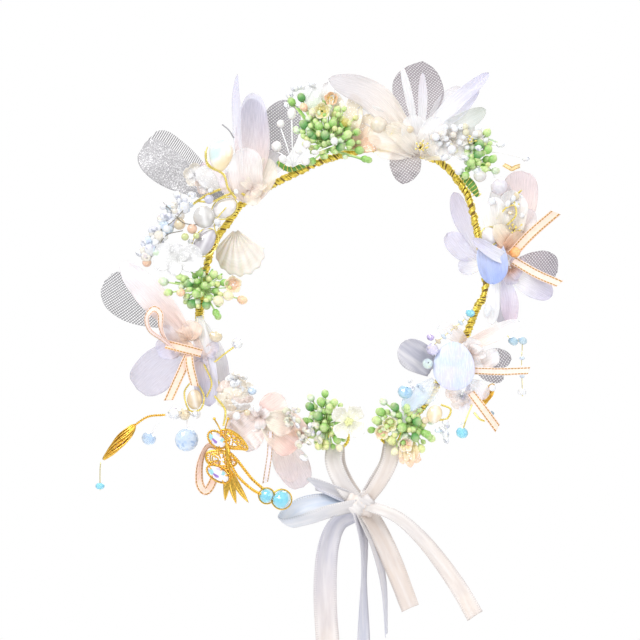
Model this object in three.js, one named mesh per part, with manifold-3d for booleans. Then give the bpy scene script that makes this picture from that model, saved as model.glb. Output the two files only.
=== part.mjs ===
// A flower crown: an open ring of bound wire with organza and mesh flowers, bead sprays, shell and stone
// ornaments, and a satin ribbon tied through an eyelet at each end of the ring.
// Millimetres. The ring stands in the XZ plane with its centre at the origin, the opening at the bottom
// and the ribbon hanging down. -Y is the front.
import * as THREE from "three";
import { mergeVertices } from "three/addons/utils/BufferGeometryUtils.js";
import Module from "manifold-3d";

const wasm = await Module();
wasm.setup();

// Driving dimensions
const CORE_RADIUS = 1.1;
const BINDING_INNER = 1.4;
const BINDING_OUTER = 2.2;
const EYELET_RADIUS = 5.2;
const EYELET_WIRE = 0.8;
const RING_STEPS = 36;
const RING_SIDES = 6;
const PETAL_THICKNESS = 0.6;
const SATIN_WIDTH = 8.5;
const SATIN_THICKNESS = 0.8;
const TRIM_WIDTH = 4.5;
const STEM_RADIUS = 0.45;
const THREAD_RADIUS = 0.4;
const BERRY_RADIUS = 2.1;
const GOLDEN_ANGLE = Math.PI * (3 - Math.sqrt(5));

// The ring's hand-bent centreline as [x, z], from the left end round the top to the right end
const RING_LINE = [
  [-10, -70.5], [-27.5, -70], [-46.5, -63], [-60, -51.5], [-69, -38], [-72.75, -23], [-72.5, -7],
  [-67, 21], [-58.5, 34.5], [-48, 47], [-22.5, 60.5], [-7, 67], [17.5, 72], [44.5, 66.5], [57, 55],
  [63.5, 41.5], [70.3, 4], [65.4, -9], [58.5, -26], [45.5, -47], [36.8, -59], [27.5, -66.5],
];
const LEFT_EYELET = new THREE.Vector3(-3.5, 0, -72.7);
const RIGHT_EYELET = new THREE.Vector3(22.6, 0, -70.8);

const finish = (color, roughness, metalness = 0) =>
  new THREE.MeshStandardMaterial({ color, roughness, metalness });
const GOLD = finish(0xc8a028, 0.35, 1);
const SATIN = finish(0xe4e0e6, 0.4);
const ORGANZA = finish(0xe6e0ea, 0.6);
const MESH = finish(0x96919a, 0.7);
const GREEN = finish(0x5ab450, 0.45);
const PEACH = finish(0xfacdaf, 0.6);
const SHELL = finish(0xe0dcea, 0.3);
const STONE = finish(0xd7cdc8, 0.15);
const CRYSTAL = finish(0xbed7f0, 0.05);
const PEARL = finish(0xf2ece2, 0.25);

const point = ([x, y, z]) => new THREE.Vector3(x, y, z);
const smooth = (points) => new THREE.CatmullRomCurve3(points.map(point), false, "centripetal");

const group = new THREE.Group();
group.name = "flower_crown";

function add(name, geometry, material) {
  const mesh = new THREE.Mesh(geometry, material);
  mesh.name = name;
  group.add(mesh);
}

function solidOf(geometry) {
  const bare = geometry.clone();
  bare.deleteAttribute("normal");
  bare.deleteAttribute("uv");
  const merged = mergeVertices(bare, 1e-4);
  return new wasm.Manifold(
    new wasm.Mesh({
      numProp: 3,
      vertProperties: new Float32Array(merged.attributes.position.array),
      triVerts: new Uint32Array(merged.index.array),
    }),
  );
}

// One closed solid from pieces that run into each other
function join(pieces) {
  const solid = pieces.map(solidOf).reduce((whole, piece) => whole.add(piece));
  const mesh = solid.getMesh();
  return new THREE.BufferGeometry()
    .setAttribute("position", new THREE.BufferAttribute(mesh.vertProperties, 3))
    .setIndex(new THREE.BufferAttribute(mesh.triVerts, 1));
}

// A round bar along a smooth line; a hole makes it a sleeve
function rod(points, radius, { sides = 6, steps = 4 * points.length, hole = 0 } = {}) {
  const circle = (r) =>
    Array.from({ length: sides }, (_, i) => {
      const angle = (2 * Math.PI * i) / sides;
      return new THREE.Vector2(r * Math.cos(angle), r * Math.sin(angle));
    });
  const section = new THREE.Shape(circle(radius));
  if (hole) section.holes.push(new THREE.Path(circle(hole)));
  return new THREE.ExtrudeGeometry(section, { steps, extrudePath: smooth(points), bevelEnabled: false });
}

function ball(centre, rx, ry = rx, rz = rx, detail = 1) {
  return new THREE.OctahedronGeometry(1, detail).scale(rx, ry, rz).translate(...centre);
}

// A thin closed blade along a smooth line. widthAt gives its width at 0 to 1 along the line, cup curls its
// edges forward, and turn rolls it about its own line, in radians.
function blade(points, widthAt, shape = {}) {
  const { thickness = PETAL_THICKNESS, cup = 0, turn = 0, steps = 6, across = 2 } = shape;
  const line = smooth(points);
  const positions = [];
  for (const face of [1, -1]) {
    for (let i = 0; i <= steps; i++) {
      const u = i / steps;
      const centre = line.getPoint(u);
      const along = line.getTangent(u);
      const side = new THREE.Vector3(0, 1, 0).cross(along).normalize().applyAxisAngle(along, turn);
      const normal = side.clone().cross(along).normalize();
      for (let j = 0; j <= across; j++) {
        const s = (2 * j) / across - 1;
        const lift = (face * thickness) / 2 + cup * s * s;
        const vertex = centre.clone().addScaledVector(side, (s * widthAt(u)) / 2);
        positions.push(...vertex.addScaledVector(normal, lift).toArray());
      }
    }
  }
  const row = across + 1;
  const back = (steps + 1) * row;
  const at = (i, j) => i * row + j;
  const index = [];
  const quad = (a, b, c, d) => index.push(a, b, c, a, c, d);
  for (let i = 0; i < steps; i++) {
    for (let j = 0; j < across; j++) {
      quad(at(i, j), at(i, j + 1), at(i + 1, j + 1), at(i + 1, j));
      quad(back + at(i, j), back + at(i + 1, j), back + at(i + 1, j + 1), back + at(i, j + 1));
    }
    quad(at(i, 0), at(i + 1, 0), back + at(i + 1, 0), back + at(i, 0));
    quad(at(i + 1, across), at(i, across), back + at(i, across), back + at(i + 1, across));
  }
  for (let j = 0; j < across; j++) {
    quad(at(0, j + 1), at(0, j), back + at(0, j), back + at(0, j + 1));
    quad(at(steps, j), at(steps, j + 1), back + at(steps, j + 1), back + at(steps, j));
  }
  return new THREE.BufferGeometry()
    .setAttribute("position", new THREE.Float32BufferAttribute(positions, 3))
    .setIndex(index);
}

// A petal from its base to its tip. belly is where it is widest, 0 to 1, neck its width at the base as a
// share of its width, and the tip is rounded off just short of a point.
function petal(points, width, { belly = 0.6, neck = 0.25, ...shape } = {}) {
  const bluntest = 0.004;
  const widthAt = (u) => {
    if (u < belly) return width * (neck + (1 - neck) * Math.sin((Math.PI / 2) * (u / belly)));
    return width * Math.sqrt(Math.max(bluntest, 1 - ((u - belly) / (1 - belly)) ** 2));
  };
  return blade(points, widthAt, { cup: width * 0.08, ...shape });
}

function strip(points, width, shape = {}) {
  return blade(points, () => width, { thickness: SATIN_THICKNESS, across: 1, steps: 8, ...shape });
}

// Wire frame: a core of wire, the gold binding wound round it, and an eyelet bent at each end
function wireFrame() {
  const line = RING_LINE.map(([x, z]) => [x, 0, z]);
  const shape = { sides: RING_SIDES, steps: RING_STEPS };
  add("core_wire", rod(line, CORE_RADIUS, shape), GOLD);
  add("gold_binding", rod(line, BINDING_OUTER, { ...shape, hole: BINDING_INNER }), GOLD);
  const eyelet = (name, centre) => {
    const ring = new THREE.TorusGeometry(EYELET_RADIUS, EYELET_WIRE, 5, 14).rotateX(Math.PI / 2);
    add(name, ring.translate(centre.x, centre.y, centre.z), GOLD);
  };
  eyelet("left_eyelet", LEFT_EYELET);
  eyelet("right_eyelet", RIGHT_EYELET);
}

// Satin ribbon: a strand from each eyelet to the knot, a bow of two loops and five tails
function satinRibbon() {
  const strands = {
    ribbon_left_strand: [[-3.5, 0, -79.3], [-6, -0.4, -88], [-2.5, -0.8, -96.5], [1.6, -0.9, -101.5]],
    ribbon_right_strand: [[22.6, 0, -77.4], [20.2, -0.4, -86], [16, -0.8, -95], [12.4, -0.9, -100.5]],
  };
  for (const [name, line] of Object.entries(strands)) add(name, strip(line, SATIN_WIDTH - 1), SATIN);

  const lowerLoop = [
    [6, -2.7, -107], [-12, -5.7, -115.5], [-27, -4.7, -118], [-32, -2.7, -114.5],
    [-26, -0.2, -111.5], [-12, 0.8, -108], [6, -0.1, -106],
  ];
  const upperLoop = [[6, -1.3, -106], [-4, -2.7, -101.5], [-13, -2.7, -96.5], [-16.5, -1.1, -95.5]];
  add("ribbon_bow", join([
    ball([7.2, -1.3, -106], 5.2, 3.4, 4.4, 2),
    strip(lowerLoop, SATIN_WIDTH - 2, { steps: 14 }),
    strip(upperLoop, SATIN_WIDTH - 2.5),
  ]), SATIN);

  const tails = [
    [SATIN_WIDTH + 2, [[4.5, 3.5, -111.4], [-6, 4.1, -121], [-11.5, 4.1, -139], [-8, 3.7, -190]]],
    [SATIN_WIDTH - 2.5, [[6, -2, -111.6], [9, -2.3, -131], [8.4, -2.1, -160], [8.6, -1.7, -190]]],
    [SATIN_WIDTH - 3, [[8, -0.3, -111.6], [13.5, 0.1, -130], [19.5, 0.7, -151], [20, 1.1, -172]]],
    [SATIN_WIDTH, [[9.6, 1.4, -111.2], [20, 2.5, -130], [28, 3.1, -148], [33.5, 3.3, -159]]],
    [SATIN_WIDTH, [[11.5, -4.9, -110.6], [28, -6.3, -120], [46, -6.7, -143], [64, -6.7, -162]]],
  ];
  tails.forEach(([width, line], i) => add(`ribbon_tail_${i + 1}`, strip(line, width), SATIN));
}

// A flower's petals that are cut and bound as one piece, gathered in a bulb at their base
function petalGroup(name, bulb, petals, material) {
  const blades = petals.map(([points, width, shape]) => petal(points, width, shape));
  add(name, join([ball(...bulb), ...blades]), material);
}

function flowerTopLeft() {
  add("glitter_petal", petal([[-62, 5, 46], [-82, 10, 60], [-101, 14, 76]], 25, { cup: 1.5 }), MESH);
  add("grey_mesh_petal", petal([[-41, 5.5, 60], [-35, 10, 78], [-29, 14, 97]], 19), MESH);
  petalGroup("organza_petals_top_left", [[-48.5, -6.5, 53], 8.5, 3.2, 6], [
    [[[-51, -6, 52], [-52.5, -9, 80], [-53, -12, 107]], 9, { turn: 1.1 }],
    [[[-48, -6.5, 55], [-46, -5, 78], [-46, -2, 98]], 15, {}],
  ], ORGANZA);
}

function flowerLeft() {
  add("striped_mesh_petal", petal([[-86, 6, -15], [-104, 10, -7], [-122, 13, 5.5]], 22, { cup: 1.5 }), MESH);
  add("ivory_petal", petal([[-79, -5.5, -20], [-92, -8, -4], [-111, -10, 15]], 11), ORGANZA);
  petalGroup("lilac_petals_left", [[-76.5, 5.6, -24], 4, 2.4, 5], [
    [[[-78, 5.6, -25], [-92, 7.5, -36], [-105, 10, -50]], 19, {}],
    [[[-75.5, 5.6, -22], [-69, 6.4, -38], [-66, 5.6, -57]], 12, {}],
  ], ORGANZA);
}

function flowerLowerLeft() {
  const lumps = [[-56, -6, -45], [-50, -7, -48], [-57, -6.5, -53], [-50.5, -6, -55.5]];
  add("frosted_cluster", join(lumps.map((centre) => ball(centre, 6.2, 3, 6.2))), ORGANZA);
  petalGroup("rose_petals", [[-41, -6.5, -65], 6, 2.6, 5], [
    [[[-40, -6.5, -64], [-47, -7.5, -68], [-54, -7, -73]], 16, {}],
    [[[-40, -6, -63], [-35.5, -7, -58], [-29.5, -7, -51.5]], 12, {}],
    [[[-40, -6.5, -65], [-31, -8, -70], [-22, -7, -77]], 16, {}],
  ], PEACH);
  add("mesh_petal_lower_left", petal([[-35, 5, -73], [-27, 8, -86], [-22, 11, -98]], 15), MESH);
}

function flowerTop() {
  add("tall_mesh_petal", petal([[34.5, 6, 77], [37, 10, 98], [41, 15, 118]], 25.5), MESH);
  add("cream_petal", petal([[31, -3.6, 77], [13, -7, 97], [-8.5, -11, 104]], 12), ORGANZA);
  petalGroup("organza_petals_top", [[37, -6.5, 77], 7, 2.2, 8], [
    [[[35, -7, 82], [31, -10, 98], [27.5, -14, 110]], 4, {}],
    [[[38, -7, 80], [38, -11, 94], [37.7, -16, 107]], 5, {}],
    [[[41, -6.5, 80], [55, -9, 93], [70, -12, 107.5]], 6.5, {}],
    [[[42, -6, 76], [54, -7, 82], [64, -7, 88]], 9, {}],
  ], ORGANZA);
  add("hanging_mesh_petal", petal([[30.5, -3.8, 73], [29.5, -6, 64], [28.5, -5, 54]], 13), MESH);
}

function flowerRight() {
  add("pink_petal", petal([[81, 5.5, 25], [89, 9, 42], [94, 14, 61]], 18), ORGANZA);
  add("blue_petal", petal([[79, -5.5, 18], [74, -8.5, 12], [70.5, -7.5, 4]], 16, { cup: 2 }), ORGANZA);
  add("mauve_mesh_petal", petal([[87, 3.4, 14.5], [98, 7, 14], [107.5, 12, 10]], 14), MESH);
  petalGroup("lilac_petals_right", [[80.5, -3.8, 9.5], 4.5, 1.6, 4.5], [
    [[[82, -4, 10], [92, -4.5, 6], [102, -4, 0.5]], 11, {}],
    [[[79, -4, 8], [79.5, -5.5, -4], [79.5, -4.5, -16.5]], 12, {}],
  ], ORGANZA);
  petalGroup("inner_lilac_petals", [[66, 5.4, 19], 3.4, 1.6, 3.8], [
    [[[66, 5.4, 20], [60, 8, 36], [56, 11, 51]], 8, {}],
    [[[66, 5.4, 18], [59, 7.5, 22], [51.5, 10, 29]], 9, {}],
  ], ORGANZA);
}

function flowerLowerRight() {
  const [halfWidth, halfHeight, thickness] = [10.2, 11.8, 1.6];
  const disc = new THREE.CylinderGeometry(1, 1, thickness, 28).scale(halfWidth, 1, halfHeight);
  add("shell_disc", disc.rotateX(0.12).rotateY(-0.2).translate(53.5, -9.5, -37), SHELL);
  add("grey_petal", petal([[42, -4, -39], [35, -6, -32.5], [28.5, -6, -26.5]], 13), ORGANZA);
  petalGroup("organza_petals_lower_right", [[63.5, -4.2, -38], 3.4, 1.4, 5], [
    [[[63, -4.4, -36], [74, -6, -25], [85.5, -5.5, -16.5]], 8, {}],
    [[[64, -4.2, -38], [70, -5.5, -35], [76, -5, -31.5]], 8, {}],
    [[[63, -4.4, -41], [60, -5.5, -51], [56.5, -5.5, -61.5]], 4, {}],
  ], ORGANZA);
  add("mesh_petal_lower_right", petal([[66, 5, -41], [70, 6.5, -49], [73, 6.5, -58]], 10), MESH);
}

// A bush of berries on short stems that fork from one root; the berries spread by the golden angle
function spray(name, root, centre, spread, count) {
  const hub = point(root);
  const pieces = [ball(root, 1.6, 1.6, 1.6)];
  for (let i = 0; i < count; i++) {
    const height = 1 - (2 * (i + 0.5)) / count;
    const ring = Math.sqrt(1 - height * height);
    const angle = i * GOLDEN_ANGLE;
    const [x, y, z] = [ring * Math.cos(angle), -Math.abs(ring * Math.sin(angle)), height];
    const tip = point([centre[0] + x * spread[0], centre[1] + y * spread[1], centre[2] + z * spread[2]]);
    const middle = hub.clone().lerp(tip, 0.5);
    pieces.push(rod([root, middle.toArray(), tip.toArray()], STEM_RADIUS, { sides: 4, steps: 1 }));
    pieces.push(ball(tip.toArray(), BERRY_RADIUS));
  }
  add(name, join(pieces), GREEN);
}

function greenSprays() {
  spray("green_spray_left", [-71, -4.4, 2.5], [-70, -6, 0.5], [12.5, 5, 8.5], 8);
  spray("green_spray_left_end", [-9, -4.6, -65.5], [-6.5, -4.8, -63.5], [9.5, 2.6, 13], 8);
  spray("green_spray_right_end", [30, -4.6, -63], [29, -5, -66], [14, 5, 7.5], 8);
  spray("green_spray_top_left", [-9.5, -4.4, 73], [-9, -5, 79.5], [13, 5, 11], 8);
  spray("green_spray_top_right", [62, -4.4, 60], [66, -5, 69], [8, 5, 9], 7);
}

// A bead held out on a wire stem
function stemmedBead(line, centre, [rx, ry, rz], stemRadius = THREAD_RADIUS) {
  return [rod(line, stemRadius, { sides: 4, steps: 3 }), ball(centre, rx, ry, rz)];
}

function stones() {
  add("teardrop_pearl", join(stemmedBead([[-53.5, -11.5, 47.5], [-57, -12, 55], [-61.5, -12, 64]],
    [-61.5, -12, 66], [7, 4.4, 7.4])), PEARL);
  add("moonstone_oval", ball([-60, -5.6, 40.6], 4.4, 3, 5.6, 2), STONE);
  add("moonstone_round", ball([-70, -6.6, 36.8], 5, 3.8, 5, 2), STONE);
  add("moonstone_drop", ball([-70.6, -5.4, 24.2], 5, 3, 6.6, 2), STONE);
}

// The ivory shell fan inside the ring, thin and pleated from its hinge to its rim
function shellFan() {
  add("shell_fan", petal([[-56.5, 4.6, 28.5], [-51.5, 6, 21], [-47.5, 7, 10]], 21, { belly: 0.7 }), SHELL);
}

// A small flower of round petals about a centre, facing the front
function roundFlower(name, [x, y, z], radius, petals) {
  const heart = radius * 0.45;
  const petalRadius = radius * 0.48;
  const reach = radius * 0.62;
  const firstAngle = 0.4;
  const pieces = [ball([x, y, z], heart, 1.8, heart)];
  for (let i = 0; i < petals; i++) {
    const angle = (2 * Math.PI * i) / petals + firstAngle;
    const centre = [x + Math.cos(angle) * reach, y, z + Math.sin(angle) * reach];
    pieces.push(ball(centre, petalRadius, 1, petalRadius));
  }
  add(name, join(pieces), ORGANZA);
}

function pearlSpray() {
  const root = [-26, -5, 62];
  const pearls = [
    [[-26.5, -8, 88.5], 2.5], [[-32, -7, 82.5], 2.3], [[-34, -6, 71.5], 2.7], [[-19, -9, 73], 2.1],
    [[-30.5, -10, 65.5], 2.1],
  ];
  const pieces = [ball(root, 1.2)];
  for (const [centre, radius] of pearls) {
    const [x, y, z] = centre;
    const stem = [root, [x, y - 0.4, z - 6], centre];
    pieces.push(...stemmedBead(stem, centre, [radius, radius, radius]));
  }
  add("pearl_spray", join(pieces), PEARL);
}

// Narrow ribbon trims with gold edges
function ribbonTrims() {
  const loop = [
    [-77, -10.4, -29.5], [-87, -11, -22], [-94, -11, -8], [-98, -11, -15], [-94, -10.4, -22.5],
    [-86, -9.4, -27],
  ];
  add("pink_bow", join([
    strip(loop, TRIM_WIDTH - 1.5, { steps: 14 }),
    strip([[-77, -10, -29], [-81, -10.6, -42], [-87, -10.6, -54]], TRIM_WIDTH),
    strip([[-77.5, -10, -29], [-76.5, -10.4, -36], [-75, -10.4, -45]], TRIM_WIDTH),
    ball([-77.5, -10, -29], 3.2, 1.6, 2.6),
  ]), PEACH);
  add("peach_trim_right", join([
    strip([[83, -9.4, 18], [92, -9.8, 28], [103.5, -10, 38]], TRIM_WIDTH),
    strip([[83, -9.4, 18], [93, -9.8, 9.5], [105.5, -10, 3.5]], TRIM_WIDTH - 0.5),
    ball([83.5, -9.4, 17.5], 2.8, 1.4, 2.8),
  ]), PEACH);
  add("peach_trim_lower_right", join([
    strip([[65, -9, -42], [78, -9.6, -39.5], [90.5, -9.8, -39]], TRIM_WIDTH - 0.5),
    strip([[65, -9, -42], [69, -9.6, -55], [74.5, -9.8, -67]], TRIM_WIDTH - 0.5),
    ball([66, -9, -42.5], 2.8, 1.4, 2.8),
  ]), PEACH);
}

// The butterfly charm on the front: two filigree wings, two stones and a pair of beads on twisted wires
function butterflyCharm() {
  const wing = (name, points, width) => add(name, petal(points, width, { thickness: 0.9, cup: 0.6 }), GOLD);
  wing("butterfly_wing_upper", [[-61, -13.4, -68], [-55, -14, -71], [-48.5, -14, -78]], 10);
  wing("butterfly_wing_lower", [[-66, -13.4, -78.5], [-60, -14, -82], [-53, -14, -88]], 9);
  add("navette_upper", ball([-64.6, -17, -73], 4.4, 1.8, 3, 2), CRYSTAL);
  add("navette_lower", ball([-62.4, -17.4, -88.5], 5.2, 1.8, 3.4, 2), CRYSTAL);
  const knot = [-58, -17.6, -78];
  add("bead_wires", join([
    ball(knot, 1.2),
    ...stemmedBead([knot, [-47, -18.5, -84], [-38, -17.5, -99.5]], [-38, -17.5, -100], [3.3, 3.3, 3.3], 0.6),
    ...stemmedBead([knot, [-44, -18.5, -92], [-31.5, -17.5, -101]], [-31, -17.5, -101.5], [4.4, 4.4, 4.4], 0.6),
  ]), CRYSTAL);
}

// Pieces that hang or stand off on wires and threads
function dangles() {
  add("wheat_ear_left", join([
    rod([[-88, -11, -60.5], [-97, -12, -61.5], [-104, -12, -66]], 0.5, { sides: 5, steps: 8 }),
    petal([[-103.5, -12, -65.5], [-110, -12, -73.5], [-119, -12, -82.5]], 6, { thickness: 2.4, cup: 0 }),
  ]), GOLD);
  add("aqua_drop", join(stemmedBead([[-120.6, -12, -84.3], [-120.6, -12, -89], [-120.6, -12, -94]],
    [-120.6, -12, -95.5], [2.2, 2.2, 2.4])), CRYSTAL);
  add("blue_disc_drop", join(stemmedBead([[-78.5, -7, -60], [-78.5, -7, -64], [-78.5, -7, -68.5]],
    [-78.5, -7, -73.3], [5.8, 3, 5.8], 0.5)), CRYSTAL);
  add("crystal_strand", join([
    rod([[88, -3, -29.8], [87.8, -3, -38], [88.4, -3, -48]], THREAD_RADIUS, { sides: 4, steps: 4 }),
    ball([88.4, -3, -49.5], 2.1, 2.1, 2.6),
  ]), CRYSTAL);
  add("wheat_ear_right", join([
    petal([[75.5, 10.4, -46.5], [73, 10.4, -51.5], [70, 10.4, -57.5]], 4, { thickness: 2, cup: 0 }),
    rod([[70.3, 10.4, -57], [71, 10.4, -59], [73, 10.4, -60.5]], THREAD_RADIUS, { sides: 4, steps: 3 }),
    ball([73.5, 10.4, -61], 2.4),
  ]), GOLD);
}

wireFrame();
satinRibbon();
flowerTopLeft();
flowerLeft();
flowerLowerLeft();
flowerTop();
flowerRight();
flowerLowerRight();
greenSprays();
stones();
shellFan();
roundFlower("white_flower", [-84, -9.4, 15.5], 9, 4);
roundFlower("cream_flower", [3.5, -12.4, -64], 7.6, 4);
pearlSpray();
ribbonTrims();
butterflyCharm();
dangles();

export default group;
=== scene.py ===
"""The looks of the flower crown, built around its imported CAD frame.

Shapes are written in millimetres, in the frame's axes: -Y is the front, +Z is up, and the ring's centre
is the origin. Pile.make() turns them into Blender's metres.

The materials come first, then the tools that make petals, ribbons, wires, beads and stones. After them,
each flower or cluster has its own function, which fills one Pile for each of its pieces.
"""

import math

import bpy
import numpy as np
from mathutils import Matrix, Vector


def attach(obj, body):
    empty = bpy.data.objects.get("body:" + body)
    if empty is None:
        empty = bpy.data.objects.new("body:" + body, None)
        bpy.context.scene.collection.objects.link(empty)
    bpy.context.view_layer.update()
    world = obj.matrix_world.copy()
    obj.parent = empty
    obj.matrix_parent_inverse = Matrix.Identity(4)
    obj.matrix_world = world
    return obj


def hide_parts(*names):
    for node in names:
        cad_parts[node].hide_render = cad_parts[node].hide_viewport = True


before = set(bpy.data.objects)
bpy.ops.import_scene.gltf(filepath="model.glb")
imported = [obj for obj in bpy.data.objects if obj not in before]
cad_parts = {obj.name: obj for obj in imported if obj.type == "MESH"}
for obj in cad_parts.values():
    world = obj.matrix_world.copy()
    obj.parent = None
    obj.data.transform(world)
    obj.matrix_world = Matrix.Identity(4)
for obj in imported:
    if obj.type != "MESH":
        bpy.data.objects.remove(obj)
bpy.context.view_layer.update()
MM = 0.001
GOLDEN_ANGLE = math.pi * (3 - math.sqrt(5))
chance = np.random.default_rng(11)


# ---------------------------------------------------------------- camera and light

CAMERA_LENS = 78.75
CAMERA_PLACE = (-0.0125, -0.70, -0.014)
LIGHTS = (  # name, place, height aimed at, size, power
    ("key_light", (-0.55, -0.75, 0.65), -0.02, 0.45, 7.0),
    ("fill_light", (0.75, -0.55, 0.1), -0.02, 0.6, 2.2),
    ("back_light", (0.1, 0.8, 0.5), 0, 0.6, 4.0),
)
SKY_GREYS = ((0.0, 0.50), (0.36, 0.70), (0.48, 0.42), (0.56, 0.80), (0.8, 0.92), (1.0, 0.8))


def set_camera():
    """Square on to the front, far enough away for the whole crown."""
    data = bpy.data.cameras.new("camera")
    data.lens = CAMERA_LENS
    camera = bpy.data.objects.new("camera", data)
    camera.location = CAMERA_PLACE
    camera.rotation_euler = (math.radians(90), 0, 0)
    bpy.context.scene.collection.objects.link(camera)
    bpy.context.scene.camera = camera


def soft_box(name, place, height, size, power):
    """A square lamp aimed at the crown's axis."""
    data = bpy.data.lights.new(name, "AREA")
    data.size = size
    data.energy = power
    lamp = bpy.data.objects.new(name, data)
    lamp.location = place
    lamp.rotation_euler = (Vector((0, 0, height)) - Vector(place)).to_track_quat("-Z", "Y").to_euler()
    bpy.context.scene.collection.objects.link(lamp)


def set_studio():
    """A white sweep all round that glass and metal see as softly graded cards, and two soft boxes."""
    world = bpy.data.worlds.new("studio")
    world.use_nodes = True
    bpy.context.scene.world = world
    tree = world.node_tree
    tree.nodes.clear()
    spot = tree.nodes.new("ShaderNodeTexCoord")
    parts = tree.nodes.new("ShaderNodeSeparateXYZ")
    tree.links.new(spot.outputs["Generated"], parts.inputs[0])
    height = tree.nodes.new("ShaderNodeValToRGB")
    for position, grey in SKY_GREYS:
        stop = height.color_ramp.elements.new(position)
        stop.color = (grey, grey, grey * 1.01, 1)
    for end in (height.color_ramp.elements[0], height.color_ramp.elements[-1]):
        end.color = (0.6, 0.6, 0.61, 1)
    spread = tree.nodes.new("ShaderNodeMapRange")
    spread.inputs["From Min"].default_value = -1
    tree.links.new(parts.outputs["Z"], spread.inputs["Value"])
    tree.links.new(spread.outputs[0], height.inputs[0])
    lit = tree.nodes.new("ShaderNodeBackground")
    tree.links.new(height.outputs[0], lit.inputs["Color"])
    seen = tree.nodes.new("ShaderNodeBackground")
    seen.inputs["Color"].default_value = (1, 1, 1, 1)
    path = tree.nodes.new("ShaderNodeLightPath")
    choose = tree.nodes.new("ShaderNodeMixShader")
    tree.links.new(path.outputs["Is Camera Ray"], choose.inputs[0])
    tree.links.new(lit.outputs[0], choose.inputs[1])
    tree.links.new(seen.outputs[0], choose.inputs[2])
    out = tree.nodes.new("ShaderNodeOutputWorld")
    tree.links.new(choose.outputs[0], out.inputs["Surface"])
    for light in LIGHTS:
        soft_box(*light)
    bpy.context.scene.view_settings.view_transform = "Standard"
    bpy.context.scene.cycles.transparent_max_bounces = 40
    bpy.context.scene.cycles.max_bounces = 12


# ---------------------------------------------------------------- materials


class Paint:
    """One material, with short calls for the nodes that feed its Principled shader."""

    def __init__(self, name, **sockets):
        self.material = bpy.data.materials.new(name)
        self.material.use_nodes = True
        self.tree = self.material.node_tree
        self.shader = self.tree.nodes["Principled BSDF"]
        self.set(**sockets)

    def plug(self, value, socket):
        """Joins a node's output to the socket, or sets the socket to a plain value."""
        if isinstance(value, bpy.types.NodeSocket):
            self.tree.links.new(value, socket)
        else:
            socket.default_value = value

    def set(self, **sockets):
        for name, value in sockets.items():
            self.plug(value, self.shader.inputs[name.replace("_", " ")])

    def node(self, kind, inputs=(), out=0, **settings):
        """Adds a node and gives back its output. inputs is a dictionary of values or outputs."""
        made = self.tree.nodes.new("ShaderNode" + kind)
        for key, value in settings.items():
            setattr(made, key, value)
        for key, value in dict(inputs).items():
            self.plug(value, made.inputs[key])
        return made.outputs[out]

    def attribute(self, name, out="Vector"):
        return self.node("Attribute", attribute_name=name, out=out)

    def math(self, operation, a, b=0.5):
        return self.node("Math", {0: a, 1: b}, operation=operation)

    def times(self, a, b):
        return self.math("MULTIPLY", a, b)

    def plus(self, a, b):
        return self.math("ADD", a, b)

    def pingpong(self, value, step):
        return self.math("PINGPONG", value, step)

    def place(self):
        """The piece's own coordinates, in millimetres."""
        return self.attribute("place")

    def from_middle(self):
        """0 along the middle of a petal or ribbon, 1 at its edges."""
        return self.math("ABSOLUTE", self.parts(self.attribute("span"))[1])

    def parts(self, vector):
        made = self.tree.nodes.new("ShaderNodeSeparateXYZ")
        self.plug(vector, made.inputs[0])
        return made.outputs

    def stretched(self, scale, turn=0.0):
        """The piece's own coordinates, scaled and turned."""
        return self.node("Mapping", {"Vector": self.place(), "Scale": scale, "Rotation": (0, 0, turn)})

    def noise(self, scale, detail=3.0, vector=None, roughness=0.5):
        spot = self.place() if vector is None else vector
        return self.node("TexNoise", {"Vector": spot, "Scale": scale, "Detail": detail,
            "Roughness": roughness})

    def span(self, value, low, high, to_low=0.0, to_high=1.0):
        """The value's range from low to high, mapped to to_low to to_high."""
        return self.node("MapRange", {0: value, 1: low, 2: high, 3: to_low, 4: to_high})

    def mix(self, factor, a, b, blend="MIX"):
        return self.node("Mix", {0: factor, 6: a, 7: b}, out=2, data_type="RGBA", blend_type=blend)

    def bump(self, height, strength, distance):
        normal = self.node("Bump", {"Height": height, "Strength": strength, "Distance": distance * MM})
        self.set(Normal=normal)

    def ramp(self, value, first, last, stops, steps=False):
        """Colours from first to last by value, with stops of (position, colour) between them."""
        made = self.tree.nodes.new("ShaderNodeValToRGB")
        self.tree.links.new(value, made.inputs[0])
        if steps:
            made.color_ramp.interpolation = "CONSTANT"
        ends = made.color_ramp.elements
        ends[0].color = (*first, 1)
        ends[1].color = (*last, 1)
        for position, tone in stops:
            ends.new(position).color = (*tone, 1)
        return made.outputs[0]

    def tinted(self, noise, dark=0.85, light=1.05):
        """The colour painted on the mesh, varied by a noise."""
        shade = self.span(noise, 0.3, 0.7, dark, light)
        grey = self.node("CombineXYZ", {0: shade, 1: shade, 2: shade})
        return self.mix(1.0, self.attribute("tint", "Color"), grey, "MULTIPLY")


def threads(paint, vector, pitch, thickness):
    """1 on the threads of a square net of that pitch, in millimetres, and 0 in its holes."""
    x, y, _ = paint.parts(vector)
    lines = []
    for along in (x, y):
        away = paint.pingpong(along, pitch / 2)
        lines.append(paint.span(away, thickness * 0.35, thickness * 0.65, 1, 0))
    return paint.math("MAXIMUM", lines[0], lines[1])


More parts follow.
